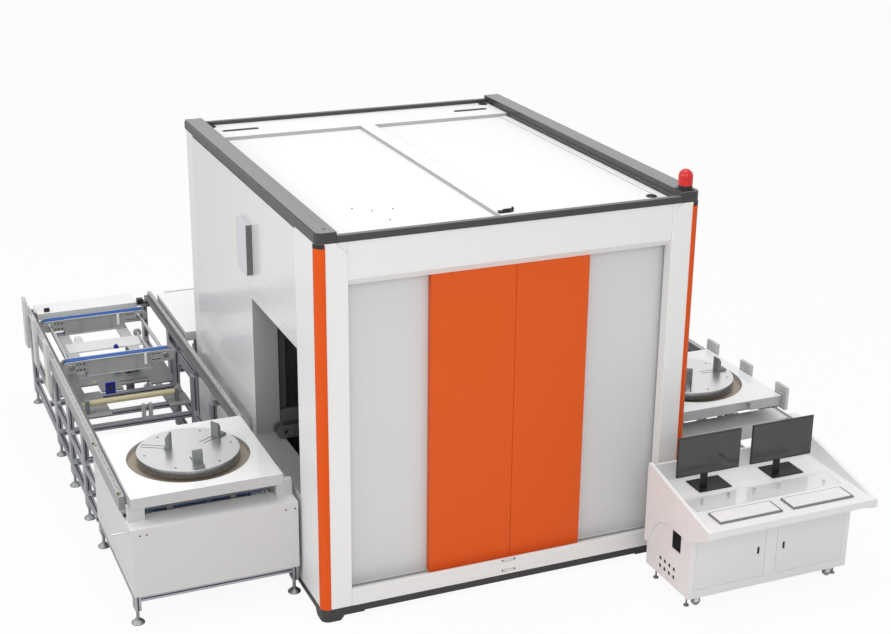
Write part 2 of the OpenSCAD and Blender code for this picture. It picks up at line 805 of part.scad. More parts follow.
module lift_carriage() {
  y1 = column_y - plate_gap;
  y0 = y1 - carriage_t;
  color("#D8DADA") {
    difference() {
      slab([-column_gap / 2 - column / 2, y0, hub_z - carriage_half_h],
        [column_gap / 2 + column / 2, y1, hub_z + carriage_half_h]);
      for (x = [-1, 1]) translate([x * column_gap / 2, 0, 0])
        slab([-slide_w / 2 - fit, column_y - slide_h - fit, hub_z - carriage_half_h - cut],
          [slide_w / 2 + fit, y1 + cut, hub_z + carriage_half_h + cut]);
      translate([0, y1 + cut, hub_z]) rotate([90, 0, 0])
        cylinder(h = carriage_t + 2 * cut, r = hub_r / 2 + hub_fit);
    }
  }
}
hub_fit = 0.05;
arm_t = 80;
arm_w = 200;
arm_low = 430;
arm_drop = 240;
arm_high = column_top - arm_drop;
arm_over = 130;
arm_reach = column_y - plate_gap - carriage_t - fit - (y_front + load_y) + arm_over;
module c_arm() {
  y1 = column_y - plate_gap - carriage_t - fit;
  color("#C9CCCC") {
    slab([-arm_w / 2, y1 - arm_t, arm_low], [arm_w / 2, y1, arm_high]);
    for (z = [arm_low, arm_high - arm_t])
      slab([-arm_w / 2, y1 - arm_reach, z], [arm_w / 2, y1 - arm_t, z + arm_t]);
    translate([0, y1 + carriage_t + fit, hub_z]) rotate([90, 0, 0])
      cylinder(h = carriage_t + fit, r = hub_r / 2);
  }
}
tube_r = 95;
tube_l = 300;
tube_neck = 60;
module xray_tube() {
  z1 = arm_high - arm_t - fit;
  color("#6E7375") translate([0, y_front + load_y, 0]) {
    translate([0, 0, z1 - tube_l]) cylinder(h = tube_l, r = tube_r);
    translate([0, 0, z1 - tube_l - tube_neck]) cylinder(h = tube_neck, r1 = tube_r / 2, r2 = tube_r * 3 / 4);
    translate([0, 0, z1 - tube_l / 2]) rotate([0, 90, 0]) cylinder(h = 2 * tube_r, r = tube_r / 2);
  }
}
panel_w = 450;
panel_t = 60;
module detector_panel() {
  z0 = arm_low + arm_t + fit;
  color("#3C4145") translate([0, y_front + load_y, z0]) {
    translate([-panel_w / 2, -panel_w / 2, 0]) cube([panel_w, panel_w, panel_t * 3 / 4]);
    translate([-panel_w * 3 / 8, -panel_w * 3 / 8, panel_t * 3 / 4])
      cube([panel_w * 3 / 4, panel_w * 3 / 4, panel_t / 4]);
  }
}
gen_w = 600;
gen_d = 420;
gen_h = 760;
module xray_generator() {
  color("#C4C8C9") translate([-gen_w / 2, rear_y - gen_d - ring_w, plinth_h + floor_t]) difference() {
    cube([gen_w, gen_d, gen_h]);
    for (k = [0 : 7]) translate([ring_w, -cut, gen_h / 2 + k * groove * 8])
      cube([gen_w - 2 * ring_w, groove * 2 + cut, groove * 3]);
  }
}

// Pallet line on the left, outfeed station on the right
load_x = x_left - load_gap - pallet_w / 2;
outfeed_x = x_right + outfeed_gap + pallet_w / 2;
pallet_z = pallet_top - pallet_t;
rail_gap = 4;
outer_x = load_x - pallet_w / 2 - rail_gap - rail_w;
near_x = load_x + pallet_w / 2 + rail_gap;
r_outer_x = outfeed_x + pallet_w / 2 + rail_gap;
r_near_x = outfeed_x - pallet_w / 2 + rail_w;
station_y0 = y_front + cover_y;
station_end = 1590;
station_y1 = y_front + station_end;
line_y0 = station_y1 + fit;
line_y1 = y_front + line_end;
frame_z = rail_top - rail_tall;
post_y_shares = [0.464, 0.596, 0.730, 0.989];
right_line = 2500;
right_end = y_front + right_line;
stand = 104;
hole_pitch = 95;
hole_r = 5;

module foot_at(x, y, top) {
  translate([x, y, 0]) {
    rotate_extrude() polygon([[0, 0], [foot_r, 0], [foot_r, foot_r / 6], [foot_r / 2, foot_r * 5 / 8],
      [foot_r / 4, foot_r * 3 / 4], [foot_r / 4, top - fit], [0, top - fit]]);
  }
}
module side_frame(x, head0, head1) {
  cs = [for (s = post_y_shares) y_front + line_end * s];
  for (y = cs) {
    bar_z(x, y - bar / 2, stand, frame_z - head_t - 2 * fit, leg_w, bar);
    slab([head0, y - bar / 2, frame_z - head_t - fit], [head1, y + bar / 2, frame_z - fit]);
  }
  for (z = [beam_low, beam_mid]) {
    bar_y(x, line_y0, cs[0] - bar / 2 - fit, z, leg_w, beam_h);
    for (i = [0 : len(cs) - 2])
      bar_y(x, cs[i] + bar / 2 + fit, cs[i + 1] - bar / 2 - fit, z, leg_w, beam_h);
  }
}
// The left frame, the outfeed frame and the short return conveyor behind the cabinet
leg_w = bar / 2;
beam_h = bar / 2;
leg_in = 34;
line_in = 25;
near_in = 66;
head_t = 12;
inset = 44;
cover_shift = 50;
legs_line = [outer_x + line_in, near_x - near_in];
legs_left = [outer_x + leg_in, near_x + inset];
right_out = 98;
legs_right = [r_near_x, r_outer_x + right_out];
st_in = 20;
return_x0 = x_left;
return_l = 1100;
return_gap = 30;
return_y0 = y_back + return_gap;
return_w = 1010;
side_cover_l = 1180;
tie_d = 40;
lift_y = 3738;
mid_beams = [2600, 2843, 3184];
station_ys = [station_y0 + st_in, station_y0 + side_cover_l - bar];
module station_frame(legs, ys, tops) {
  for (k = [0, 1]) {
    bar_z(legs[k], ys[0], stand, tops[k], leg_w, bar);
    for (i = [1 : len(ys) - 1]) {
      bar_z(legs[k], ys[i], stand, frame_z - fit, leg_w, bar);
      for (z = [beam_low, beam_mid])
        bar_y(legs[k], ys[i - 1] + bar + fit, ys[i] - fit, z, leg_w, beam_h);
    }
  }
}
module line_frames() {
  r_front = station_ys[0] - cover_shift;
  r_ys = [r_front, (station_y0 + right_end) / 2, right_end - bar];
  under = [for (k = [0, 1], y = unit_ys(k)) y + (unit_d - bar) / 2];
  low_ys = [for (s = post_y_shares) y_front + line_end * s - beam_h / 2, y_front + lift_y - beam_h / 2];
  top = cover_top - cover_t - fit;
  back_ys = [return_y0, return_y0 + return_w - bar];
  back_xs = [return_x0, return_x0 + return_l - bar];
  color("#A9ABB5") {
    side_frame(legs_line[0], outer_x, legs_line[0] + leg_w);
    side_frame(legs_line[1], legs_line[1], near_x + near_w);
    station_frame(legs_left, station_ys, [top, top]);
    for (y = [station_ys[0], under[0], under[1], station_ys[1]])
      bar_x(legs_left[0] + leg_w + fit, legs_left[1] - fit, y, beam_low);
    for (y = low_ys) bar_x(legs_line[0] + leg_w + fit, legs_line[1] - fit, y, beam_low, beam_h, beam_h);
    for (y = mid_beams)
      bar_x(legs_line[0] + leg_w + fit, legs_line[1] - fit, y_front + y - beam_h / 2, beam_mid,
        beam_h, beam_h);
    bar_x(outer_x + rail_w + fit, near_x - fit, low_ys[3], frame_z, beam_h, ledge_z - frame_z - fit);
    station_frame(legs_right, r_ys, [top, cover_top - beam_h - fit]);
    bar_y(legs_right[1], y_front + cap_y, r_ys[1] - fit, cover_top - beam_h, leg_w, beam_h);
    for (y = [r_front, under[2], under[3], r_ys[2]])
      bar_x(legs_right[0] + leg_w + fit, legs_right[1] - fit, y, beam_low);
    for (y = [r_ys[1], r_ys[2]]) bar_x(r_outer_x, legs_right[1] - fit, y, frame_z - bar - fit);
    for (x = back_xs, y = back_ys) bar_z(x, y, stand, frame_z - fit);
    for (y = back_ys) bar_x(back_xs[0] + bar + fit, back_xs[1] - fit, y, beam_low);
    for (x = back_xs) bar_y(x, back_ys[0] + bar + fit, back_ys[1] - fit, beam_mid);
    slab([legs_left[1] + leg_w + fit, station_ys[1] + fit, beam_low],
      [x_left - fit, station_ys[1] + tie_d, beam_low + tie_d]);
    for (s = [0, 1])
      slab([legs_line[1] + leg_w + fit, y_front + line_end * post_y_shares[s] - tie_d, beam_low],
      [x_left - fit, y_front + line_end * post_y_shares[s], beam_low + tie_d]);
    for (y = [r_ys[1], r_ys[2]]) slab([x_right + fit, y, beam_low],
      [legs_right[0] - fit, y + tie_d, beam_low + tie_d]);
    slab([return_x0 + bar, y_back + fit, beam_low],
      [return_x0 + 2 * bar, return_y0 - fit, beam_low + tie_d]);
  }
}
module levelling_feet() {
  cx = leg_w / 2;
  half = bar / 2;
  color("#8E9191") {
    for (x = legs_line, s = post_y_shares) foot_at(x + cx, y_front + line_end * s, stand);
    for (x = legs_left, y = station_ys) foot_at(x + cx, y + half, stand);
    for (x = legs_right, y = [station_ys[0] - cover_shift, (station_y0 + right_end) / 2, right_end - bar])
      foot_at(x + cx, y + half, stand);
    for (x = [return_x0 + half, return_x0 + return_l - half],
      y = [return_y0 + half, return_y0 + return_w - half]) foot_at(x, y, stand);
    for (x = [con_x0 + foot_in, con_x0 + con_w - foot_in], y = [con_y0 + foot_y_in, con_y1 - foot_y_in])
      translate([x, y, 0]) {
        cylinder(h = con_foot_h, r = con_foot_r);
        cylinder(h = con_low - fit, r = con_foot_r / 3);
      }
  }
}

// Side rails: a bar beside the pallets with a row of tapped holes, and a ledge that carries them
ledge_w = 30;
ledge_h = 24;
near_w = 31;
ledge_z = pallet_z - fit - ledge_h;
block_in = 36;
block_y = station_y0 + cover_d - block_in;
module rail(x, y0, y1, inward, w) {
  difference() {
    slab([x, y0, frame_z], [x + w, y1, rail_top]);
    for (y = [y0 + hole_pitch / 2 : hole_pitch : y1 - hole_pitch / 4])
      translate([x + w / 2, y, rail_top - 3 * hole_r]) cylinder(h = 4 * hole_r, r = hole_r);
  }
  if (inward > 0) slab([x + w + fit / 3, y0, ledge_z], [x + w + ledge_w, y1, ledge_z + ledge_h]);
  if (inward < 0) slab([x - ledge_w, y0, ledge_z], [x - fit / 3, y1, ledge_z + ledge_h]);
}
module side_rails() {
  tunnel_end = y_front + tunnel_start + tunnel_l + 2 * rail_w;
  color("#B4B7B8") {
    rail(outer_x, block_y + fit, station_y1, 1, rail_w);
    rail(outer_x, line_y0, line_y1, 1, rail_w);
    rail(near_x, tunnel_end, line_y1, -1, near_w);
    rail(r_outer_x, y_front + right_stops[0] + stop_w / 2 + fit, right_end, -1, rail_w);
    for (y = [return_y0, return_y0 + return_w - near_w])
      slab([return_x0, y, frame_z], [return_x0 + return_l, y + near_w, ledge_z + ledge_h]);
    slab([return_x0, return_y0 + return_w - near_w + fit, ledge_z + ledge_h + fit],
      [return_x0 + return_l, return_y0 + return_w, pallet_top]);
  }
}

// Sheet-metal covers of the stations and the round-topped end blocks of their rails
block_d = 46;
block_w = 108;
block_h = 110;
block_r = 36;
cover_t = 3;
seam_t = 0.1;
module end_block(x, h = block_h) {
  translate([x, cover_d - block_in - block_d, cover_top + fit / 3])
    rotate([90, 0, 90]) linear_extrude(block_w) {
    difference() {
      union() {
        square([block_d, h - block_r]);
        translate([block_r, 0]) square([block_d - block_r, h]);
        translate([block_r, h - block_r]) circle(block_r);
      }
      translate([block_d, -cut]) square([2 * block_r, h + 2 * cut]);
    }
  }
}
module front_cover(x0, x1, low) {
  slab([x0, 0, low], [x1, cover_t, cover_top]);
  slab([x0, cover_t + seam_t, cover_top - cover_t], [x1, cover_d, cover_top]);
  for (x = [x0, x1 - cover_t])
    slab([x, cover_t + seam_t, low], [x + cover_t, cover_d, cover_top - cover_t - seam_t]);
}
peg_r = 7;
apron_low = 572;
cap_y = 310;
cap_w = 75;
cap_l = 98;
cap_h = 50;
end_cover_y = 4060;
end_cover_t = 12;
end_cover_x = 11;
end_lip = 20;
peg_l = 110;
// The cover behind the far belt unit, on two blocks over the end beam, with a lip in front
module end_cover() {
  x0 = outer_x + rail_w + ledge_w + fit;
  x1 = unit_x0 + belt_axles + end_cover_x;
  y0 = y_front + end_cover_y;
  y2 = y_front + line_end * post_y_shares[3] - beam_h / 2;
  z1 = rail_top - end_cover_t;
  slab([x0, y0, z1], [x1, line_y1, rail_top]);
  slab([x0, y0, z1 - seam_t - 2 * end_lip], [x1, y0 + end_lip, z1 - seam_t]);
  for (x = [x0 + leg_w, x1 - 2 * leg_w])
    slab([x, y2, ledge_z], [x + leg_w, y2 + beam_h, z1 - seam_t]);
}
module station_covers() {
  lx0 = legs_left[0] - cover_t - fit;
  lx1 = legs_left[1] + leg_w + cover_t + fit;
  color("#E2E2E1") {
    translate([0, station_y0, 0]) {
      front_cover(lx0, lx1, cover_low);
      end_block(legs_left[0] + rib_t);
      end_block(legs_left[1] + leg_w - block_w);
      translate([lx0 - peg_l, cover_d / 4, cover_top - 4 * peg_r]) rotate([0, 90, 0])
        cylinder(h = peg_l - fit, r = peg_r);
    }
    slab([lx0, station_y0 + cover_d + fit, cover_low],
      [lx0 + cover_t, station_y0 + side_cover_l, cover_top]);
    translate([0, station_y0 - cover_shift, 0]) {
      front_cover(legs_right[0] - cover_t - fit, legs_right[1] - fit, apron_low);
    }
    slab([legs_right[1] + leg_w + fit, y_front + cap_y, cover_top - cap_h],
      [legs_right[1] + leg_w + fit + cap_w, y_front + cap_y + cap_l, cover_top]);
    end_cover();
    slab([legs_right[1] + leg_w + fit, station_y0 - cover_shift + cover_d + fit, apron_low],
      [legs_right[1] + leg_w + fit + cover_t, station_y0 + side_cover_l, cover_top]);
  }
}

// Stop plates on the outer rails
stop_w = 137;
stop_t = 26;
stop_top = 966;
stop_low = 560;
stop_foot = 795;
left_stops = [3116, 3685, 4151];
right_stops = [330, 790, 1250];
module stop_plate(x, y, low) {
  difference() {
    slab([x, y - stop_w / 2, low], [x + stop_t, y + stop_w / 2, stop_top]);
    for (k = [-1, 0, 1]) translate([x - cut, y + k * stop_w / 3, stop_top - stop_w / 3])
      rotate([0, 90, 0]) cylinder(h = stop_t + 2 * cut, r = k == 0 ? 2 * hole_r : hole_r);
  }
}
module stop_plates() {
  color("#C9CACA") {
    for (y = left_stops) stop_plate(outer_x - stop_t - fit, y_front + y, stop_low);
    for (k = [0 : 2])
      stop_plate(r_outer_x + fit, y_front + right_stops[k], k == 0 ? stop_foot : rail_top + fit);
  }
}

// Fixed belt units of the stations, and the inner conveyor's belts
station_belt_r = 63;
station_axle_z = pallet_z - fit - station_belt_r;
station_low = nose_r;
fronts = [station_y0, station_y0 - cover_shift];
unit_l = pallet_w - 2 * feed_in;
unit_xs = [load_x - unit_l / 2, outfeed_x - unit_l / 2];
unit_rows = [load_y, outfeed_y];
function unit_ys(k) = [fronts[k] + cover_d + rail_gap,
  y_front + unit_rows[k] + pallet_l / 2 - inset - unit_d];
post_d = 40;
module station_units() {
  color("#9A9B9A") for (k = [0, 1], y = unit_ys(k))
    translate([unit_xs[k], y, station_axle_z]) {
      belt_unit(unit_l, unit_d, station_low);
      for (x = [plate_l, unit_l - plate_l - post_d], d = [0, unit_d - chan_d])
        translate([x, d, beam_low + bar + fit - station_axle_z])
          cube([post_d, chan_d, station_axle_z - station_low - beam_low - bar - 2 * fit]);
    }
}
module station_belts() {
  color("#2864C8") {
    for (y = [front_unit_y, back_unit_y]) translate([inner_x0, y + (unit_d - belt_w) / 2, belt_axle_z])
      belt_loop(inner_l, belt_w);
    for (k = [0, 1], y = unit_ys(k)) translate([unit_xs[k], y + (unit_d - belt_w) / 2, station_axle_z])
      belt_loop(unit_l, belt_w, station_belt_r);
  }
}

// Cross transfer: two lifting belt units joined by cross plates
unit_in = 105;
unit_x0 = outer_x + rail_w + unit_in;
belt_axles = near_x - axle_gap - unit_x0;
deck_in = 72;
deck_end = 57;
cross_w = 90;
cross_t = 12;
rod_r = 22;
sleeve_r = 34;
cross_in = 194;
cross_at = [deck_end, belt_axles - cross_in];
cross_xs = [for (x = cross_at) unit_x0 + x];
transfer_mid = y_front + lift_y;
cross_z = belt_axle_z - unit_drop - fit - cross_t;
sleeve_z = beam_low + beam_h + fit;
deck_at = [deck_in, belt_axles - deck_end];
deck_y = 3515;
deck_d = 200;
guide_end = 64;
guide_x = belt_axles - guide_end;
guide_y0 = 3100;
guide_y1 = 3755;
guide_r = 9;
rod_z = 704;
drum_x = 186;
module transfer_frame() {
  color("#9A9B9A") {
    for (y = [near_belt_y, far_belt_y]) translate([unit_x0, y_front + y, belt_axle_z])
      belt_unit(belt_axles, unit_d, unit_drop);
    for (x = cross_xs) {
      slab([x, y_front + near_belt_y, cross_z],
        [x + cross_w, y_front + far_belt_y + unit_d, cross_z + cross_t]);
      translate([x + cross_w / 2, transfer_mid, sleeve_z + 2 * lift_travel])
        cylinder(h = cross_z - fit / 3 - sleeve_z - 2 * lift_travel, r = rod_r);
    }
    slab([unit_x0 + deck_at[0], y_front + deck_y, cross_z + cross_t + seam_t],
      [unit_x0 + deck_at[1], y_front + deck_y + deck_d, cross_z + 2 * cross_t]);
    guide_rod();
  }
}
module guide_rod() {
  block = 4 * guide_r;
  z0 = cross_z + 2 * cross_t + seam_t;
  translate([unit_x0 + guide_x, y_front + guide_y0, rod_z]) rotate([-90, 0, 0]) {
    cylinder(h = guide_y1 - guide_y0, r = guide_r);
    translate([0, 0, guide_y1 - guide_y0 - block / 2]) cylinder(h = block / 2, r = sleeve_r - 2 * fit);
  }
  translate([unit_x0 + drum_x, y_front + deck_y + deck_d - guide_r, rod_z]) rotate([-90, 0, 0])
    cylinder(h = guide_y1 - deck_y - deck_d + guide_r, r = sleeve_r - 2 * fit);
  slab([unit_x0 + guide_x - block / 2, y_front + deck_y + block / 2, z0],
    [unit_x0 + deck_at[1], y_front + deck_y + block, rod_z + guide_r + fit]);
}
module transfer_belts() {
  color("#2864C8") for (y = [near_belt_y, far_belt_y])
    translate([unit_x0, y_front + y + (unit_d - belt_w) / 2, belt_axle_z]) belt_loop(belt_axles, belt_w);
}
pulley_r = belt_r - belt_t - fit;
shaft_fit = 0.05;
module cross_shaft() {
  y0 = y_front + near_belt_y;
  y1 = y_front + far_belt_y + unit_d;
  translate([0, y0 - plate_t / 2, 0]) rotate([-90, 0, 0])
    cylinder(h = y1 - y0 + plate_t, r = axle_r + fit - shaft_fit);
  for (y = [near_belt_y, far_belt_y]) translate([0, y_front + y + (unit_d - belt_w) / 2, 0])
    rotate([-90, 0, 0]) cylinder(h = belt_w, r = pulley_r);
}
module drive_shaft() {
  color("#C8CACA") translate([unit_x0, 0, belt_axle_z]) cross_shaft();
}
module idler_shaft() {
  color("#C8CACA") translate([unit_x0 + belt_axles, 0, belt_axle_z]) cross_shaft();
}
roller_r = 22;
roller_at = 2834;
roller_y = y_front + roller_at;
roller_z = 530;
roller_in = 234;
roller_gap = 137;
roller_x0 = outer_x + roller_in;
roller_l = near_x - roller_gap - roller_x0;
journal_r = 9;
journal_l = 50;
module guide_roller() {
  color("#C8BE96") translate([roller_x0, roller_y, roller_z]) rotate([0, 90, 0]) {
    cylinder(h = roller_l, r = roller_r);
    translate([0, 0, -journal_l]) cylinder(h = roller_l + 2 * journal_l, r = journal_r);
  }
}
stand_w = 60;
sleeve_h = 240;
base_z = beam_mid + beam_h + fit;
base_t = 10;
base_y0 = 2740;
base_left = [188, 3229];
base_right = [182, 2960];
lamp_box = 78;
lamp_h = 118;
drive_h = 92;
drive_t = 12;
drive_x = 110;
knob_r = 17;
deck_front = 3375;
deck_back = 3700;
deck_tongue = [3210, 3300, 3350];
deck_xs = [400, 575, 800];
module roller_stand(x) {
  difference() {
    slab([x, roller_y - stand_w / 2, base_z + base_t + seam_t],
      [x + stand_w / 2, roller_y + stand_w / 2, roller_z + stand_w / 2]);
    translate([x - cut, roller_y, roller_z]) rotate([0, 90, 0])
      cylinder(h = stand_w, r = journal_r + shaft_fit);
  }
}
// Plates on the middle beams: under the roller's stands and, behind them, under the lift
module bay_plates() {
  x0 = roller_x0 - stand_w / 2 - fit * 8;
  x1 = roller_x0 + roller_l + fit * 8 + stand_w / 2;
  z1 = base_z + base_t;
  slab([x0, y_front + base_y0, base_z], [x0 + base_left[0], y_front + base_left[1], z1]);
  slab([x1 - base_right[0] / 2, y_front + base_y0, base_z],
    [legs_line[1] + leg_w, y_front + base_right[1], z1]);
  slab([legs_line[0], y_front + deck_front, base_z],
    [legs_line[1] + leg_w, y_front + deck_back, z1]);
  slab([outer_x + deck_xs[0], y_front + deck_tongue[0], base_z],
    [outer_x + deck_xs[1], y_front + deck_front - seam_t, z1]);
  slab([outer_x + deck_xs[1] + seam_t, y_front + deck_tongue[1], base_z],
    [outer_x + deck_xs[2] - seam_t, y_front + deck_tongue[2], z1]);
  slab([outer_x + deck_xs[2], y_front + deck_tongue[0] + 2 * base_t, base_z],
    [legs_line[1] + leg_w, y_front + deck_front - seam_t, z1]);
  slab([legs_line[0], y_front + deck_tongue[0] + 2 * base_t, base_z],
    [outer_x + deck_xs[0] * 2 / 3, y_front + deck_front - seam_t, z1]);
}
module line_fittings() {
  color("#A5A7A6") {
    for (x = cross_xs) translate([x + cross_w / 2, transfer_mid, sleeve_z]) difference() {
      cylinder(h = sleeve_h, r = sleeve_r);
      translate([0, 0, base_t]) cylinder(h = sleeve_h, r = rod_r + shaft_fit);
    }
    roller_stand(roller_x0 - stand_w / 2 - fit * 8);
    roller_stand(roller_x0 + roller_l + fit * 8);
    bay_plates();
    difference() {
      translate([load_x - drive_x, y_front + mid_beams[2] - drive_t, base_z])
        cube([lamp_box, drive_t, drive_h]);
      translate([load_x - drive_x + lamp_box / 2, y_front + mid_beams[2] - drive_t - cut,
        base_z + drive_h / 2])
        rotate([-90, 0, 0]) cylinder(h = 2 * lamp_box, r = lamp_box / 4, $fn = 4);
    }
    translate([load_x + lamp_box * 2 / 3, y_front + mid_beams[0] - beam_h / 2, base_z]) difference() {
      cube([lamp_box, beam_h, lamp_h]);
      translate([lamp_box / 3, -cut, base_t]) cube([lamp_box / 3, beam_h + 2 * cut, lamp_h]);
    }
    translate([unit_x0 + guide_x - lamp_box * 11 / 2, y_front + deck_front + knob_r,
      base_z + base_t + seam_t])
      cylinder(h = knob_r, r = knob_r);
  }
}

// Pallets and their turntables. Each is built round its own centre
seat_w = 24;
notch_x = 120;
notch_w = 110;
notch_d = 30;
notch_h = 62;
spindle_r = 60;
collar_r = 110;
floor_z = pallet_top - well_drop;
module pallet_tray(notched) {
  difference() {
    translate([-pallet_w / 2, -pallet_l / 2, pallet_z]) cube([pallet_w, pallet_l, pallet_t]);
    translate([0, 0, floor_z - well_floor_t - fit]) cylinder(h = pallet_t, r = well_r, $fn = 96);
    translate([0, 0, pallet_z - cut]) cylinder(h = pallet_t, r = well_r - seat_w, $fn = 96);
    if (notched) translate([notch_x, -pallet_l / 2 - cut, pallet_z - cut])
      cube([notch_w, notch_d + cut, notch_h + cut]);
  }
}
module well_floor() {
  translate([0, 0, floor_z - well_floor_t]) difference() {
    cylinder(h = well_floor_t, r = well_r - fit, $fn = 96);
    translate([0, 0, -cut]) cylinder(h = well_floor_t + 2 * cut, r = spindle_r + shaft_fit);
  }
}
module pallet(x, y, notched) {
  translate([x, y, 0]) {
    color("#FAFAFA") pallet_tray(notched);
    color("#B2A596") well_floor();
  }
}
table_z = pallet_top + table_rise - table_t;
jaw_angles = [150, 30, -90];
jaw_back = 4;
jaw_out = 120;
jaw_in_r = [slot_in - jaw_back, slot_in + jaw_out, slot_in + jaw_out];
table_hole_r = 8;
table_hole_at = 287;
skirt_t = 24;
module turntable(x, y, turn) {
  color("#C8CDCD") translate([x, y, 0]) rotate([0, 0, turn]) {
    difference() {
      translate([0, 0, table_z]) cylinder(h = table_t, r = table_r, $fn = 96);
      for (a = jaw_angles, s = [-1, 1]) rotate([0, 0, a])
        translate([slot_in, s * slot_pitch / 2 - slot_w / 2, table_z + table_t - skirt_t])
          cube([slot_out - slot_in, slot_w, skirt_t + cut]);
      for (a = [0 : 60 : 300]) rotate([0, 0, a])
        translate([table_hole_at, 0, table_z + table_t - skirt_t])
          cylinder(h = skirt_t + cut, r = table_hole_r);
    }
    translate([0, 0, floor_z - 3 * well_floor_t])
      cylinder(h = table_z - floor_z + 3 * well_floor_t, r = spindle_r);
    translate([0, 0, floor_z + fit]) cylinder(h = table_z - floor_z - fit, r = collar_r);
  }
}
// A jaw: upright plate with a raked back on a foot, with two keys in the table's slots
key_d = 18;
module jaw(turn, k) {
  top = pallet_top + table_rise;
  foot = k == 0 ? jaw_foot / 5 : jaw_foot;
  a = jaw_angles[k];
  color("#7D8484") rotate([0, 0, turn + a]) translate([jaw_in_r[k], 0, top + fit / 3]) {
    translate([0, jaw_w / 2, 0]) rotate([90, 0, 0]) linear_extrude(jaw_w)
      polygon([[0, 0], [0, jaw_h], [jaw_t / 2, jaw_h], [jaw_t, jaw_h * 3 / 4], [jaw_t, jaw_t / 2],
        [jaw_t + foot, jaw_t / 2], [jaw_t + foot, 0]]);
    for (s = [-1, 1])
      translate([key_in, s * slot_pitch / 2 - slot_w / 2 + fit, -key_d])
        cube([jaw_t - key_in, slot_w - 2 * fit, key_d + fit]);
  }
}
key_in = 6;
module left_jaw(k) {
  translate([load_x, y_front + load_y, 0]) jaw(0, k);
}
module right_jaw(k) {
  translate([outfeed_x, y_front + outfeed_y, 0]) jaw(90, k);
}
return_out = 70;
return_in = 12;
return_pallet_x = x_left - return_out + pallet_w / 2;
return_pallet_y = y_back + return_in + pallet_l / 2;
module spare_pallet(x, y) {
  translate([x, y, pallet_z]) color("#F4F4F4") translate([-pallet_w / 2, -pallet_l / 2, 0])
    cube([pallet_w, pallet_l, pallet_t]);
}

// Operator console
con_x0 = x_left + con_x;
con_x1 = con_x0 + con_w;
con_y0 = y_front - con_front;
con_y1 = con_y0 + con_d;
con_t = 18;
foot_in = 40;
foot_y_in = 75;
con_foot_r = 18;
con_foot_h = 10;
door_in = 46;
door_mid = 90;
door_low_in = 60;
con_door_t = 16;
hinge_r = 5;
vent_w = 108;
vent_h = 130;
vent_in = 125;
vent_z = 360;
gland_r = 14;
gland_in = 189;
gland_pitch = 57;
gland_z = 159;
latch_in = 53;
latch_z = 347;
peg_foot_r = 10;
castor_r = 30;
castor_in = 100;
castor_y_in = 60;
castor_w = 24;
body_top = desk_z - desk_t - fit;
door_z0 = con_low + door_low_in;
door_z1 = body_top - door_low_in / 2;
ld_x0 = con_x0 + door_in;
ld_x1 = con_x0 + con_w / 2 - door_mid / 2;
rd_x0 = con_x0 + con_w / 2 + door_mid / 2;
rd_x1 = con_x1 - door_in;
module castor(x, y) {
  translate([x, y, 0]) {
    translate([0, castor_w / 2, castor_r + con_foot_h / 2]) rotate([90, 0, 0])
      cylinder(h = castor_w, r = castor_r);
    for (s = [-1, 1]) translate([-castor_r / 2, s * (castor_w / 2 + fit + sheet / 2) - sheet / 2, castor_r])
      cube([castor_r, sheet, con_low - castor_r - fit]);
    translate([-castor_r, -castor_r * 3 / 4, con_low - sheet - fit])
      cube([2 * castor_r, castor_r * 3 / 2, sheet]);
  }
}
module console_body() {
  color("#DCDDDD") {
    difference() {
      slab([con_x0, con_y0, con_low], [con_x1, con_y1, body_top]);
      slab([con_x0 + con_t, con_y0 + con_door_t + con_t, con_low + con_t],
        [con_x1 - con_t, con_y1 - con_t, body_top - con_t]);
      for (d = [[ld_x0, ld_x1], [rd_x0, rd_x1]]) {
        slab([d[0] - seam, con_y0 - cut, door_z0 - seam],
          [d[1] + seam, con_y0 + con_door_t + fit, door_z1 + seam]);
        slab([d[0] + con_t, con_y0, door_z0 + con_t], [d[1] - con_t, con_y0 + 3 * con_t, door_z1 - con_t]);
      }
      translate([con_x0 - cut, con_y0 + vent_in, vent_z]) cube([con_t + 2 * cut, vent_w, vent_h]);
      for (i = [0 : 3], j = [0, 1])
        translate([con_x0 - cut, con_y0 + gland_in + i * gland_pitch, gland_z + j * gland_pitch])
          rotate([0, 90, 0]) cylinder(h = con_t + 2 * cut, r = gland_r);
      for (x = [ld_x0, rd_x1]) translate([x, con_y0, door_z0 - seam])
        cylinder(h = door_z1 - door_z0 + 2 * seam, r = hinge_r + 2 * fit);
    }
    for (x = [con_x0 + castor_in, con_x1 - castor_in], y = [con_y0 + castor_y_in, con_y1 - castor_y_in])
      castor(x, y);
  }
}
module console_door(x0, x1, latch, hinge) {
  translate([hinge, con_y0, door_z0]) cylinder(h = door_z1 - door_z0, r = hinge_r);
  difference() {
    slab([x0, con_y0, door_z0], [x1, con_y0 + con_door_t, door_z1]);
    translate([latch, con_y0 - cut, latch_z]) rotate([-90, 0, 0]) {
      translate([0, con_t, 0]) cylinder(h = con_door_t / 2 + cut, r = con_t / 2);
      translate([0, -con_t, 0]) cylinder(h = con_door_t / 2 + cut, r = con_t / 2);
      translate([-con_t / 2, -con_t, 0]) cube([con_t, 2 * con_t, con_door_t / 2 + cut]);
    }
  }
}
module console_left_door() {
  color("#DCDDDD") console_door(ld_x0, ld_x1, ld_x1 - latch_in, ld_x0);
}
module console_right_door() {
  color("#DCDDDD") console_door(rd_x0, rd_x1, rd_x0 + latch_in, rd_x1);
}
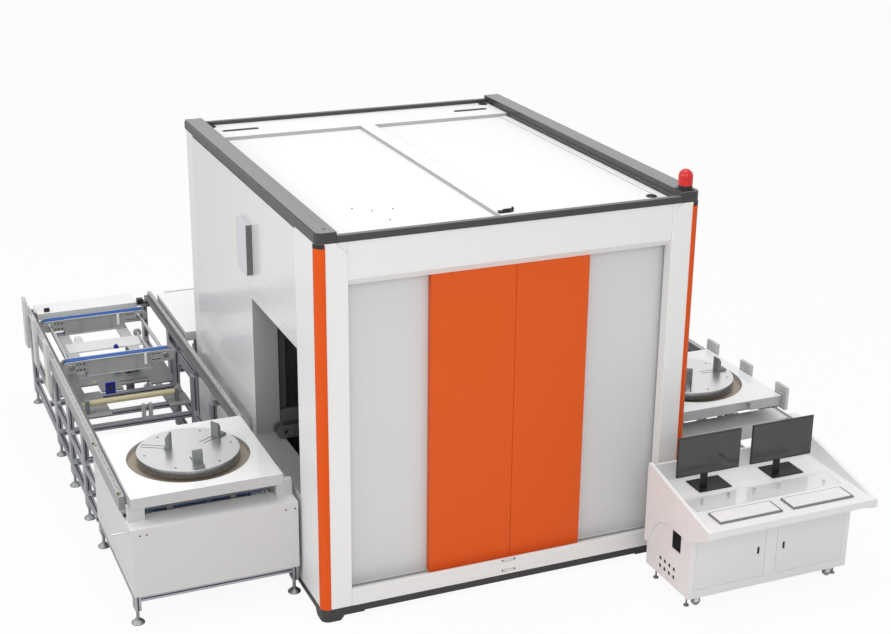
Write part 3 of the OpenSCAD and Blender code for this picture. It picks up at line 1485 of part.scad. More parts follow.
// Desk with a front lip and two side panels
side_rear_low = 272;
arch_top = 532;
arch_y = 187;
desk_back = con_y1;
lip_h = 50;
lip_d = 24;
side_front_z = 631;
module side_panel_plan() {
  difference() {
    polygon([[-desk_over, side_front_z], [-desk_over, desk_z - fit * 10], [-desk_over + lip_d, desk_z],
      [con_d - lip_d, side_h], [con_d, side_h], [con_d, side_rear_low], [con_d - 3 * lip_d, side_rear_low]]);
    translate([arch_y, arch_top - arch_r]) circle(arch_r, $fn = 64);
  }
}
arch_r = 330;
module console_desk() {
  color("#DCDDDD") {
    slab([con_x0, con_y0 - desk_over, desk_z - desk_t], [con_x1, desk_back, desk_z]);
    slab([con_x0, con_y0 - desk_over, desk_z - lip_h],
      [con_x1, con_y0 - desk_over + lip_d, desk_z - desk_t]);
    slab([con_x0, con_y1 - con_t, desk_z], [con_x1, con_y1, side_h - con_t]);
    for (x = [con_x0 - side_t, con_x1]) translate([x, con_y0, 0]) rotate([90, 0, 90])
      linear_extrude(side_t) side_panel_plan();
  }
}
shelf_over = 12;
shelf_y = con_y0 - shelf_over;
shelf_d = 171;
shelf_end = 114;
shelf_t = 6;
shelf_up = 38;
peg_x_shares = [0.111, 0.283, 0.439, 0.592, 0.847];
peg_y_shares = [0.81, 0.91, 0.86, 0.87, 0.5];
module glass_shelf() {
  color("#DDE8EA") {
    slab([con_x0 + con_t, shelf_y, desk_z + shelf_up],
      [con_x1 - shelf_end, shelf_y + shelf_d, desk_z + shelf_up + shelf_t]);
    for (k = [0 : 4])
      translate([con_x0 + con_w * peg_x_shares[k], shelf_y + shelf_d * peg_y_shares[k], desk_z])
        cylinder(h = shelf_up - seam_t, r = peg_foot_r);
  }
}
kb_w = 468;
kb_d = 148;
kb_t = 12;
kb_key = 18;
kb_gap = 21;
kb_xs = [2332, 2880];
kb_y = -895;
module keyboards() {
  color("#E8E8E8") for (x = kb_xs) translate([x_left + x, y_front + kb_y, desk_z]) {
    cube([kb_w, kb_d, kb_t]);
    for (i = [0 : 20], j = [0 : 5])
      translate([kb_gap / 2 + i * kb_gap, kb_gap / 2 + j * kb_gap, kb_t]) cube([kb_key, kb_key, kb_t / 2]);
  }
}
mon_x = [2272, 2836];
mon_at = 450;
mon_y = y_front - mon_at;
mon_z = desk_z + mon_rise;
stand_base_w = 246;
stand_base_d = 176;
stand_base_t = 8;
column_w = 48;
column_t = 16;
tilt_r = 7;
tilt_z = mon_z + mon_h / 3;
ear_t = 8;
module monitor_stands() {
  color("#1A1A1A") for (m = mon_x) translate([x_left + m, mon_y, 0]) {
    translate([mon_w / 2 - stand_base_w / 4, -column_t, desk_z])
      cube([stand_base_w, stand_base_d, stand_base_t]);
    z0 = desk_z + stand_base_t + seam_t;
    translate([mon_w / 2 - column_w / 2, mon_t + ear_t + 2 * tilt_r, z0])
      difference() {
        cube([column_w, column_t, tilt_z - z0 + tilt_r * 2]);
        translate([-cut, column_t / 2, tilt_z - z0]) rotate([0, 90, 0])
          cylinder(h = column_w + 2 * cut, r = tilt_r / 2 + shaft_fit);
      }
  }
}
module monitor(x) {
  translate([x, mon_y, mon_z]) {
    cube([mon_w, mon_t, mon_h]);
    for (s = [-1, 1]) translate([mon_w / 2 + s * (column_w / 2 + fit + ear_t / 2) - ear_t / 2, mon_t,
      tilt_z - mon_z - 2 * tilt_r]) cube([ear_t, ear_t + 4 * tilt_r, 4 * tilt_r]);
    translate([mon_w / 2 - column_w / 2 - ear_t, mon_t + ear_t + 2 * tilt_r + column_t / 2, tilt_z - mon_z])
      rotate([0, 90, 0]) cylinder(h = column_w + 2 * ear_t, r = tilt_r / 2);
  }
}
module left_monitor() {
  color("#424242") monitor(x_left + mon_x[0]);
}
module right_monitor() {
  color("#424242") monitor(x_left + mon_x[1]);
}

plinth();
floor_plate();
corner_posts();
corner_strips();
front_fascias();
front_walls();
left_wall();
right_wall();
rear_wall();
roof_panel();
top_rails();
beacon_base();
beacon_dome();
door_tracks();
tunnel_liners();
inner_conveyor();
gantry_frame();
xray_generator();
left_door();
right_door();
left_shutter();
right_shutter();
lift_carriage();
c_arm();
xray_tube();
detector_panel();
line_frames();
levelling_feet();
side_rails();
station_units();
station_covers();
stop_plates();
station_belts();
line_fittings();
transfer_frame();
transfer_belts();
drive_shaft();
idler_shaft();
guide_roller();
pallet(load_x, y_front + load_y, false);  // left_pallet
turntable(load_x, y_front + load_y, 0);  // left_turntable
left_jaw(0);  // left_jaw_a
left_jaw(1);  // left_jaw_b
left_jaw(2);  // left_jaw_c
pallet(outfeed_x, y_front + outfeed_y, true);  // right_pallet
turntable(outfeed_x, y_front + outfeed_y, 90);  // right_turntable
right_jaw(0);  // right_jaw_a
right_jaw(1);  // right_jaw_b
right_jaw(2);  // right_jaw_c
spare_pallet(return_pallet_x, return_pallet_y);  // return_pallet
console_body();
console_desk();
console_left_door();
console_right_door();
glass_shelf();
keyboards();
monitor_stands();
left_monitor();
right_monitor();
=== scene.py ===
import json
import math

import bmesh
import bpy
import numpy as np
from mathutils import Matrix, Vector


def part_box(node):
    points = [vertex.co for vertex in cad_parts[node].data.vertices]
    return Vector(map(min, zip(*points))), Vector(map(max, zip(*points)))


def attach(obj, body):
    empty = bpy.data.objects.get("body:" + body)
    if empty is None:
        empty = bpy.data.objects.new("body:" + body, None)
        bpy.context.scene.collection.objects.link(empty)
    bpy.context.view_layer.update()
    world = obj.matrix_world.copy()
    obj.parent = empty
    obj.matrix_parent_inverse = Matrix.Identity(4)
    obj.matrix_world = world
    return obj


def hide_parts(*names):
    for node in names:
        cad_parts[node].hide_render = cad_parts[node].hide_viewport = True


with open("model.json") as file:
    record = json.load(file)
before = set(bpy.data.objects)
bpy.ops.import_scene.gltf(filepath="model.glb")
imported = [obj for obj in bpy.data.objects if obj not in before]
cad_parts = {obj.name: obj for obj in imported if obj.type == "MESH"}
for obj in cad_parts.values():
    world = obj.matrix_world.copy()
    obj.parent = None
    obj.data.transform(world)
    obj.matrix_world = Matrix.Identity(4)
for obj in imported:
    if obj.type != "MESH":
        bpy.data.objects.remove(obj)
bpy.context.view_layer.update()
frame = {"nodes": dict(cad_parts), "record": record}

# ---- Camera ----
# The eye of the photograph: in front of the cabinet, to its left and well above it, looking 20
# degrees down. Its place, angles and lens were solved from the cabinet's own edges.
scene = bpy.context.scene
scene.view_settings.view_transform = "Standard"
eye_at = (-4.0, -9.798, 5.3015)
eye_turn, eye_dip, eye_lean = np.radians([23.14, 20.34, 0.60])
ahead = np.array([math.sin(eye_turn) * math.cos(eye_dip),
                  math.cos(eye_turn) * math.cos(eye_dip), -math.sin(eye_dip)])
level = np.array([math.cos(eye_turn), -math.sin(eye_turn), 0.0])
above = np.cross(level, ahead)
side_of_view = math.cos(eye_lean) * level + math.sin(eye_lean) * above
top_of_view = -math.sin(eye_lean) * level + math.cos(eye_lean) * above
lens = bpy.data.cameras.new("photo_eye")
lens.lens = 63.08
lens.sensor_width = 36.0
lens.sensor_fit = "HORIZONTAL"
lens.clip_end = 200.0
eye = bpy.data.objects.new("photo_eye", lens)
pose = Matrix(np.column_stack([side_of_view, top_of_view, -ahead]).tolist()).to_4x4()
pose.translation = eye_at
eye.matrix_world = pose
scene.collection.objects.link(eye)
scene.camera = eye


# ---- Studio floor and light ----
# A seamless pale floor and a white room. The eye, and what mirrors or glass show of the room,
# see plain white; the light that reaches the machine is softer, from three wide panels.
def linear_rgb(code):
    """An sRGB hex colour as linear red, green, blue and alpha. Each channel is value / 12.92
    up to 0.04045, and ((value + 0.055) / 1.055) to the power 2.4 above it."""
    value = np.array([int(code[i:i + 2], 16) / 255 for i in (1, 3, 5)])
    value = np.where(value <= 0.04045, value / 12.92, ((value + 0.055) / 1.055) ** 2.4)
    return (*value.tolist(), 1.0)


def add(tree, kind, inputs=(), **settings):
    """Adds one node to a tree. Settings are its own properties; inputs map a socket to a
    value, or to another node's output, which is then linked."""
    made = tree.nodes.new("ShaderNode" + kind)
    for key, value in settings.items():
        setattr(made, key, value)
    for key, value in dict(inputs).items():
        if isinstance(value, bpy.types.NodeSocket):
            tree.links.new(value, made.inputs[key])
        else:
            made.inputs[key].default_value = value
    return made


plain_white = linear_rgb("#FFFFFF")
room_glow = 0.62
room = bpy.data.worlds.new("white_room")
room.use_nodes = True
tree = room.node_tree
tree.nodes.clear()
ray = add(tree, "LightPath").outputs
seen = add(tree, "Math", {0: ray["Is Camera Ray"], 1: ray["Is Glossy Ray"]},
           operation="MAXIMUM").outputs[0]
seen = add(tree, "Math", {0: seen, 1: ray["Is Transmission Ray"]}, operation="MAXIMUM").outputs[0]
room_light = add(tree, "Background", {"Color": plain_white, "Strength": room_glow})
room_white = add(tree, "Background", {"Color": plain_white, "Strength": 1.0})
room_mix = add(tree, "MixShader", {0: seen, 1: room_light.outputs[0], 2: room_white.outputs[0]})
add(tree, "OutputWorld", {"Surface": room_mix.outputs[0]})
scene.world = room

floor_half = 60.0
floor_glow = 0.93  # the share of plain white that the eye sees over the matt floor's shadows
floor_mesh = bpy.data.meshes.new("studio_floor")
floor_mesh.from_pydata([(-floor_half, -floor_half, 0), (floor_half, -floor_half, 0),
                        (floor_half, floor_half, 0), (-floor_half, floor_half, 0)], [],
                       [(0, 1, 2, 3)])
studio_floor = bpy.data.objects.new("studio_floor", floor_mesh)
scene.collection.objects.link(studio_floor)
floor_paint = bpy.data.materials.new("pale_floor")
floor_paint.use_nodes = True
tree = floor_paint.node_tree
tree.nodes.clear()
matt = add(tree, "BsdfDiffuse", {"Color": linear_rgb("#EDEDED")})
white = add(tree, "Emission", {"Color": plain_white, "Strength": 1.0})
share = add(tree, "Math", {0: add(tree, "LightPath").outputs["Is Camera Ray"], 1: floor_glow},
            operation="MULTIPLY")
cover = add(tree, "MixShader", {0: share.outputs[0], 1: matt.outputs[0], 2: white.outputs[0]})
add(tree, "OutputMaterial", {"Surface": cover.outputs[0]})
floor_mesh.materials.append(floor_paint)


def softbox(name, at, towards, size, watts):
    """A square light panel at one point, turned to face another."""
    panel = bpy.data.lights.new(name, "AREA")
    panel.shape = "SQUARE"
    panel.size = size
    panel.energy = watts
    holder = bpy.data.objects.new(name, panel)
    look = np.array(towards, float) - np.array(at, float)
    away = -look / np.linalg.norm(look)
    across = np.cross([0.0, 1.0, 0.0] if abs(away[2]) > 0.9 else [0.0, 0.0, 1.0], away)
    across /= np.linalg.norm(across)
    turn = Matrix(np.column_stack([across, np.cross(away, across), away]).tolist()).to_4x4()
    turn.translation = at
    holder.matrix_world = turn
    scene.collection.objects.link(holder)


softbox("overhead_panel", at=(-0.5, -0.5, 14.0), towards=(0, 0, 1.5), size=10.0, watts=620)
softbox("front_panel", at=(-3.0, -11.0, 6.0), towards=(0, 0, 1.0), size=6.0, watts=300)
softbox("left_panel", at=(-11.0, -2.0, 5.5), towards=(0, 0, 1.0), size=6.0, watts=270)


# ---- Plinth ----
# A ring of folded black steel that carries the cabinet on four corner feet, with a relief
# between them. Its powder coat gives the eye a satin black with the ripple of baked powder.
def new_finish(name):
    """A material, its tree, its shader, and the Object coordinates that place its patterns."""
    material = bpy.data.materials.new(name)
    material.use_nodes = True
    tree = material.node_tree
    return material, tree, tree.nodes["Principled BSDF"], add(tree, "TexCoord").outputs["Object"]


def darker(code, share):
    """A colour with its linear red, green and blue lowered by a share."""
    full = np.array(linear_rgb(code))
    return (*(full[:3] * (1 - share)).tolist(), 1.0)


def blend(tree, share, low, high):
    """The colour between two others, low at a share of 0 and high at 1."""
    return add(tree, "Mix", {0: share, 6: low, 7: high}, data_type="RGBA").outputs[2]


def with_painted_top_light(tree, tone, painted_top_light):
    """The tone, turned to the colour given for the tops where a face looks up: painted light from
    above. That colour's share rises from 0 to 1 while the height of the face's normal does
    from 0.7 to 0.95."""
    if not painted_top_light:
        return tone
    facing = add(tree, "SeparateXYZ", {0: add(tree, "NewGeometry").outputs["Normal"]})
    share = add(tree, "MapRange", {0: facing.outputs[2], 1: 0.7, 2: 0.95})
    return blend(tree, share.outputs[0], tone, linear_rgb(painted_top_light))


def grain_surface(tree, shader, height, smooth, rough, strength, distance):
    """Lets a pattern's height carry the roughness from smooth to rough and lift the surface."""
    sheen = add(tree, "MapRange", {0: height, 3: smooth, 4: rough})
    tree.links.new(sheen.outputs[0], shader.inputs["Roughness"])
    lift = add(tree, "Bump", {"Height": height, "Strength": strength, "Distance": distance})
    tree.links.new(lift.outputs[0], shader.inputs["Normal"])


def powder_coat(name, code, rough=0.42, ripple=0.05, cloud=0.05, fleck=0.0, coat=0.0,
                shine=0.35, painted_top_light=""):
    """Paint baked on steel. A cloud of noise 0.9 m across shades the colour a little, a
    ripple drawn 9 mm coarse so that it shows lifts the surface, and flecks 4 mm apart
    grain it. The colour given for the tops, if any, is that of faces that look up: painted
    light, the tops lit brighter than the sides."""
    material, tree, shader, place = new_finish(name)
    drift = add(tree, "TexNoise", {"Vector": place, "Scale": 1 / 0.9, "Detail": 3.0})
    tone = blend(tree, drift.outputs[0], darker(code, cloud), linear_rgb(code))
    if fleck:
        grain = add(tree, "TexNoise", {"Vector": place, "Scale": 1 / 0.004, "Detail": 1.0})
        share = add(tree, "MapRange", {0: grain.outputs[0], 1: 0.45, 2: 0.7})
        tone = blend(tree, share.outputs[0], tone, darker(code, fleck))
    tree.links.new(with_painted_top_light(tree, tone, painted_top_light), shader.inputs["Base Color"])
    peel = add(tree, "TexNoise", {"Vector": place, "Scale": 1 / 0.009, "Detail": 2.0})
    grain_surface(tree, shader, peel.outputs[0], max(rough - 0.03, 0.02), rough + 0.05,
                  ripple, 0.002)
    shader.inputs["Specular IOR Level"].default_value = shine
    shader.inputs["Coat Weight"].default_value = coat
    shader.inputs["Coat Roughness"].default_value = 0.06
    return material


bodies = frame["record"]["behaviour"]["bodies"]
body_of_node = {node: body for body, nodes in bodies.items() for node in nodes}
curve_least, curve_most, rounded_from = 0.009, math.radians(38), math.radians(40)


def settle(work):
    """Shades a mesh: a face that meets a neighbour at 0.5 to 38 degrees is part of a curve and
    smooth, any other is flat, and an edge that bends further is sharp."""
    for face in work.faces:
        face.smooth = False
    for edge in work.edges:
        if len(edge.link_faces) == 2:
            bend = edge.calc_face_angle(0.0)
            edge.smooth = bend < curve_most
            if curve_least < bend < curve_most:
                for face in edge.link_faces:
                    face.smooth = True


def finished(made, edge, steps):
    """Rounds the edges that bend more than 40 degrees and weighs the normals by face area."""
    if edge:
        rounding = made.modifiers.new("broken_edges", "BEVEL")
        rounding.width = edge
        rounding.segments = steps
        rounding.limit_method = "ANGLE"
        rounding.angle_limit = rounded_from
        rounding.use_clamp_overlap = False
    weighing = made.modifiers.new("flat_faces", "WEIGHTED_NORMAL")
    weighing.keep_sharp = True


def merged(mesh):
    """The mesh as a bmesh, with corners closer than 5 thousandths of a millimetre merged."""
    work = bmesh.new()
    work.from_mesh(mesh)
    bmesh.ops.remove_doubles(work, verts=work.verts, dist=5e-6)
    return work


def solids_of(work):
    """The separate solids of a mesh, each as a list of its faces."""
    taken = set()
    for first in work.faces:
        if first in taken:
            continue
        taken.add(first)
        found = [first]
        for face in found:
            for edge in face.edges:
                for other in edge.link_faces:
                    if other not in taken:
                        taken.add(other)
                        found.append(other)
        yield found


def corners(found):
    """The low and high corners of a solid."""
    points = np.array([vertex.co[:] for face in found for vertex in face.verts])
    return points.min(0), points.max(0)


def dressed(node, material, edge=0.0015, steps=2, others=()):
    """The CAD node with its edges broken, as a folded or machined part has them. A copy is
    merged and shaded. Others are pairs of a material and a test on the low and high corners
    of one of the node's separate solids, which gets that material where the test holds."""
    mesh = frame["nodes"][node].data.copy()
    mesh.name = node + "_dressed"
    work = merged(mesh)
    settle(work)
    for face in work.faces:
        face.material_index = 0
    for found in solids_of(work) if others else ():
        low, high = corners(found)
        for index, (_, test) in enumerate(others, 1):
            if test(low, high):
                for face in found:
                    face.material_index = index
    mesh.materials.clear()
    for finish in [material] + [pair[0] for pair in others]:
        mesh.materials.append(finish)
    work.to_mesh(mesh)
    work.free()
    made = bpy.data.objects.new(node + "_dressed", mesh)
    scene.collection.objects.link(made)
    finished(made, edge, steps)
    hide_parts(node)
    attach(made, body_of_node[node])
    return made


black_coat = powder_coat("black_powder_coat", "#3B3B3A", 0.45, 0.08)
dressed("plinth", black_coat, 0.003)

# ---- Floor plate ----
# Plain steel sheet, 10 mm, laid in the cabinet. Its primer is a matt, slightly clouded grey.
floor_primer = powder_coat("grey_floor_primer", "#8A8C8C", 0.6, 0.1, 0.12)
dressed("floor_plate", floor_primer, 0.002)


# ---- Corner posts, fascias, walls ----
# Folded sheet-steel covers over the lead: pale warm white on the posts and fascias, a cooler
# grey with a fine texture in the recess, and a white that mirrors softly on the side walls.
def spans(axis, least=0.0, most=math.inf):
    """A test for dressed: whether a solid's size along an axis lies between two sizes."""
    return lambda low, high: least < high[axis] - low[axis] < most


white_coat = powder_coat("white_powder_coat", "#E7E7E6", 0.36, 0.03, 0.02, coat=0.12, shine=0.3)
grey_coat = powder_coat("grey_textured_coat", "#DBDCDC", 0.50, 0.16, 0.05, fleck=0.16, shine=0.3)
wall_gloss = powder_coat("glossy_wall_enamel", "#E3E3E2", 0.20, 0.012, 0.05, fleck=0.06, coat=0.3)
box_coat = powder_coat("wall_box_coat", "#D2D2D8", 0.4, 0.03, 0.03)
dressed("corner_posts", white_coat, 0.004, 3)
dressed("front_fascias", white_coat, 0.002)
dressed("front_walls", grey_coat, 0.001)
dressed("left_wall", wall_gloss, 0.0012, others=[(box_coat, spans(2, most=0.5))])
dressed("right_wall", wall_gloss, 0.0012)
dressed("rear_wall", wall_gloss, 0.0012)

# ---- Sill screws ----
# Four button-head screws of blackened steel hold the sill plate over the gutter, two high and
# two low: small satin domes, turned with a dished socket that catches a ring of light.
brick_faces = [[0, 1, 3, 2], [4, 6, 7, 5], [0, 4, 5, 1], [2, 3, 7, 6], [0, 2, 6, 4], [1, 5, 7, 3]]


def grid_faces(rows, columns):
    """Quads between the rings of a closed grid: point (i, j) joins (i, j + 1) and the same two
    of the next ring, and the last column joins the first."""
    i, j = np.meshgrid(np.arange(rows - 1), np.arange(columns), indexing="ij")
    after = (j + 1) % columns
    quads = [i * columns + j, i * columns + after,
             (i + 1) * columns + after, (i + 1) * columns + j]
    return np.stack(quads, -1).reshape(-1, 4).tolist()


def turned(profile, at=(0, 0, 0), axis=(0, 0, 1), steps=24):
    """A solid turned on a lathe. Each pair of the profile is a distance along the axis and a
    radius, and point j of a ring stands at the angle 2 pi j / steps. Flat faces close it."""
    along, radius = np.asarray(profile, float).T
    tip = np.asarray(axis, float) / np.linalg.norm(axis)
    first = np.cross(tip, [1.0, 0, 0] if abs(tip[0]) < 0.9 else [0, 1.0, 0])
    first /= np.linalg.norm(first)
    angle = 2 * np.pi * np.arange(steps) / steps
    ring = np.cos(angle)[:, None] * first + np.sin(angle)[:, None] * np.cross(tip, first)
    points = np.asarray(at, float) + along[:, None, None] * tip + radius[:, None, None] * ring
    last = (len(along) - 1) * steps
    return points.reshape(-1, 3), grid_faces(len(along), steps) + [
        list(range(steps))[::-1], list(range(last, last + steps))]


def block(low, high):
    """A brick between two corners: point 4i + 2j + k has the i-th x, j-th y and k-th z."""
    sides = np.meshgrid(*zip(low, high), indexing="ij")
    return np.stack(sides, -1).reshape(-1, 3).astype(float), brick_faces


def prism(outline, low, high, axis):
    """A flat outline carried from low to high along an axis. It lists the two other
    coordinates in their order, and is turned round where its area would face it inwards."""
    flat = np.asarray(outline, float)
    after = np.roll(flat, -1, 0)
    area = (flat[:, 0] * after[:, 1] - flat[:, 1] * after[:, 0]).sum()
    if (area < 0) != (axis == 1):
        flat = flat[::-1]
    rings = [np.insert(flat, axis, value, axis=1) for value in (low, high)]
    count = len(flat)
    return np.concatenate(rings), grid_faces(2, count) + [
        list(range(count))[::-1], list(range(count, 2 * count))]


def repeat(form, places):
    """The form again, moved by each of a list of places."""
    points, faces = form
    spots = np.atleast_2d(np.asarray(places, float))
    moved = (points[None] + spots[:, None]).reshape(-1, 3)
    return moved, [[corner + k * len(points) for corner in face]
                   for k in range(len(spots)) for face in faces]


def joined(*forms):
    """Several forms as one list of points and faces."""
    starts = np.cumsum([0] + [len(points) for points, _ in forms])
    return np.concatenate([points for points, _ in forms]), [
        [corner + start for corner in face]
        for start, (_, faces) in zip(starts, forms) for face in faces]


def piece(name, form, material, body, edge=0.0, steps=2):
    """Puts a form into a mesh, gives it its material, and lets it ride on a body."""
    points, faces = form
    mesh = bpy.data.meshes.new(name)
    mesh.from_pydata(points.tolist(), [], [[int(corner) for corner in face] for face in faces])
    work = bmesh.new()
    work.from_mesh(mesh)
    settle(work)
    work.to_mesh(mesh)
    work.free()
    mesh.materials.append(material)
    made = bpy.data.objects.new(name, mesh)
    scene.collection.objects.link(made)
    finished(made, edge, steps)
    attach(made, body)
    return made


button_head = [(0, 0.0055), (0.0035, 0.0055), (0.0055, 0.0042), (0.0062, 0.0026),
               (0.0044, 0.0022), (0.0044, 0.0002)]
black_steel = powder_coat("blackened_steel", "#2B2B2B", 0.35, shine=0.5)
front_y, left_x = -1.55, -1.3
sill_face = front_y + 0.0049
piece("sill_screws", repeat(turned(button_head, (0, sill_face, 0), (0, -1, 0), 16),
                            [(x, 0, z) for x in (-0.045, 0.045) for z in (0.12, 0.195)]),
      black_steel, "cabinet")

# ---- Corner strips ----
# Orange aluminium extrusions clipped round the cabinet's vertical corners, a satin colour of
# even depth, each with a black plastic neck between its top and the roof rail.
orange_strip = powder_coat("orange_strip_coat", "#DB5416", 0.38, 0.02, shine=0.14)
dressed("corner_strips", orange_strip, 0.0012)
corner_radius = 0.052
neck_outer, neck_inner = 0.0556, 0.0523
neck_low, neck_high = 2.502, 2.5297
quarter = np.radians(np.linspace(180, 270, 13))
neck_mid = np.array([left_x + corner_radius, front_y + corner_radius])
neck_rim = np.concatenate([
    neck_mid + radius * np.column_stack([np.cos(turn), np.sin(turn)])
    for radius, turn in ((neck_outer, quarter), (neck_inner, quarter[::-1]))])
black_moulding = powder_coat("black_moulded_plastic", "#262626", 0.5, 0.15, 0.1)
piece("strip_necks", joined(prism(neck_rim, neck_low, neck_high, 2),
                            prism(neck_rim * [-1, 1], neck_low, neck_high, 2)),
      black_moulding, "cabinet")

# ---- Wall box ----
# A shallow sheet-steel air box on the left wall. Its front side is a louvre of folded grey
# # blades over a flat grey sheet: painted shade, a dark upright slot where the box's front
# # lies in shade.
louvre_grey = powder_coat("louvre_grey_coat", "#6C6D6E", 0.5, 0.05, 0.25)
box_x, box_y, box_z, box_tall = -1.348, -0.2108, 1.92, 0.36
blade_pitch = 0.016
blade = prism([(-0.0030, 0.0), (-0.0012, 0.004), (-0.0004, 0.004), (-0.0022, 0.0)],
              box_x + 0.005, left_x - 0.005, 0)
blade_heights = box_z + np.arange(0.02, box_tall - 0.018, blade_pitch)
piece("wall_box_louvre", joined(
    block((box_x + 0.003, box_y - 0.0006, box_z + 0.006),
          (left_x - 0.003, box_y - 0.0001, box_z + box_tall - 0.006)),
    repeat(blade, [(0, box_y, z) for z in blade_heights])),
    louvre_grey, "cabinet")

# ---- Roof ----
# Two recessed white panels, a raised bar between them and a raised strip behind, framed by
# thin folded lips, with moulded plugs in the lifting holes, screws and a small black catch.
# The paint is matt, with painted light: white on faces that look up, painted grey shade
# # on the folds' sides.
roof_coat = powder_coat("roof_white_coat", "#B2B2B2", 0.55, 0.03, 0.015, shine=0.2,
                        painted_top_light="#F6F6F6")
dressed("roof_panel", roof_coat, 0.002)
roof_low, roof_high = 2.519, 2.546
lip_low, lip_high = roof_low + 0.0001, 2.5245
lip_front, lip_back = -1.509, 1.108
lips = []
for side in (-1, 1):
    lips.append(block((side * 1.137 - 0.030, lip_front, lip_low),
                      (side * 1.137 + 0.030, lip_back, lip_high)))
    lips.append(block((side * 0.5825 - 0.524, lip_front, lip_low),
                      (side * 0.5825 + 0.524, lip_front + 0.033, lip_high)))
piece("roof_lips", joined(*lips), roof_coat, "cabinet", 0.0015)
plug = turned([(0, 0.036), (0.004, 0.036), (0.007, 0.032), (0.007, 0.027), (0.003, 0.025),
               (0.003, 0.0005)], steps=32)
piece("roof_plugs", repeat(plug, [(1.078, -1.306, roof_low), (1.118, 1.459, roof_high),
                                  (-1.118, 1.459, roof_high)]),
      black_moulding, "cabinet")
catch_top = roof_high + 0.014
piece("roof_catch", joined(
    block((-0.052, -1.392, roof_high), (0.030, -1.362, catch_top)),
    block((-0.020, -1.386, catch_top), (0.052, -1.368, catch_top + 0.008)),
    turned([(0, 0.007), (0.030, 0.007), (0.032, 0.005)], (0.044, -1.377, roof_high))),
    black_moulding, "cabinet", 0.0015)
piece("roof_screws", repeat(turned(button_head, (0, 0, roof_low - 0.001), steps=12),
                            [(-0.837, -0.881, 0), (-0.596, -0.974, 0), (-0.735, -0.968, 0),
                             (-0.699, -1.190, 0)]),
      louvre_grey, "cabinet")

# ---- Roof rails ----
# Side rails of extruded aluminium, black anodised with a silky shine, and folded black end
# # rails with a flush moulded grip behind each side panel. Both carry a painted highlight on
# # their tops.
rail_black = powder_coat("black_anodised_rail", "#3A3A3A", 0.32, 0.04, shine=0.45,
                         painted_top_light="#7C7D7D")
rail_end = powder_coat("black_end_rail", "#414140", 0.42, 0.06, shine=0.4, painted_top_light="#6A6A6A")
dressed("top_rails", rail_end, 0.003, others=[
    (rail_black, spans(1, least=2.0)), (black_coat, spans(2, most=0.02))])
grip_half, grip_round = 0.118, 0.022
grip_x, grip_y = 0.936, 1.300
grip_low, grip_high = roof_high + 0.0011, roof_high + 0.0035
end_bend = np.radians(np.linspace(-90, 90, 9))
grip_end = np.column_stack([grip_half + grip_round * np.cos(end_bend),
                            grip_round * np.sin(end_bend)])
grip_rim = np.concatenate([grip_end, -grip_end])
piece("roof_grips", joined(*[prism(grip_rim + [side * grip_x, grip_y], grip_low, grip_high, 2)
                             for side in (-1, 1)]),
      black_moulding, "cabinet", 0.0006)

# ---- Beacon ----
# A warning lamp: moulded black base with a ringed collar, and a ribbed red lens whose radius
# is (1 + 0.02 cos 24a) times that of its profile at the angle a. The lens shines like acrylic.
dressed("beacon_base", black_moulding, 0.0012)
red_lens = powder_coat("red_acrylic_lens", "#D4181B", 0.16, 0.0, 0.06, coat=0.25, shine=0.4)
ribs, rib_depth, lens_draft = 24, 0.02, 0.98
lens_low, lens_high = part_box("beacon_dome")
lens_r = (lens_high[0] - lens_low[0]) / 2
lens_neck = lens_high[2] - lens_low[2] - lens_r
lens_profile = [(0, lens_r * 0.96), (0.004, lens_r * lens_draft), (lens_neck, lens_r * lens_draft)]
lens_profile += [(lens_neck + lens_r * math.sin(a), lens_r * lens_draft * math.cos(a))
                 for a in np.linspace(0, np.pi / 2, 10)[1:-1]]
points, faces = turned(lens_profile, steps=96)
around = np.arctan2(points[:, 1], points[:, 0])
points[:, :2] *= (1 + rib_depth * np.cos(ribs * around))[:, None]
lens_at = [(lens_low[0] + lens_high[0]) / 2, (lens_low[1] + lens_high[1]) / 2, lens_low[2]]
dome = piece("beacon_dome_ribbed", (points + lens_at, faces), red_lens, "cabinet")
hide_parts("beacon_dome")

# ---- Doors and tunnels ----
# Two lead-lined sliding leaves in deep orange powder coat, more matt than the strips, on a
# zinc-plated track; folded grey liners and darker shutters in the tunnels.
orange_door = powder_coat("orange_door_coat", "#DE5B22", 0.46, 0.04, 0.04, shine=0.14)
zinc = powder_coat("zinc_track", "#9A9D9E", 0.35, 0.1, 0.2)
liner_grey = powder_coat("liner_grey_enamel", "#AEB0B0", 0.35, 0.05, 0.08, fleck=0.06)
shutter_grey = powder_coat("shutter_grey_coat", "#55585A", 0.45, 0.05, 0.08)
dressed("left_door", orange_door, 0.002)
dressed("right_door", orange_door, 0.002)
dressed("door_tracks", zinc, 0.001)
dressed("tunnel_liners", liner_grey, 0.001)
dressed("left_shutter", shutter_grey, 0.003)
dressed("right_shutter", shutter_grey, 0.003)

# ---- Inside ----
# The x-ray gantry on its inner conveyor, welded and bolted steel in pale grey machine paint,
# the tube in a darker grey, and the detector under a matt black cover.
gantry_coat = powder_coat("gantry_grey_coat", "#B9BCBD", 0.4, 0.05, 0.06)
unit_grey = powder_coat("unit_grey_coat", "#6E7071", 0.42, 0.05, 0.1)
dressed("inner_conveyor", unit_grey, 0.001)
for part in ("gantry_frame", "xray_generator", "lift_carriage", "c_arm"):
    dressed(part, gantry_coat, 0.003)
dressed("xray_tube", shutter_grey, 0.002)
dressed("detector_panel", black_moulding, 0.003)


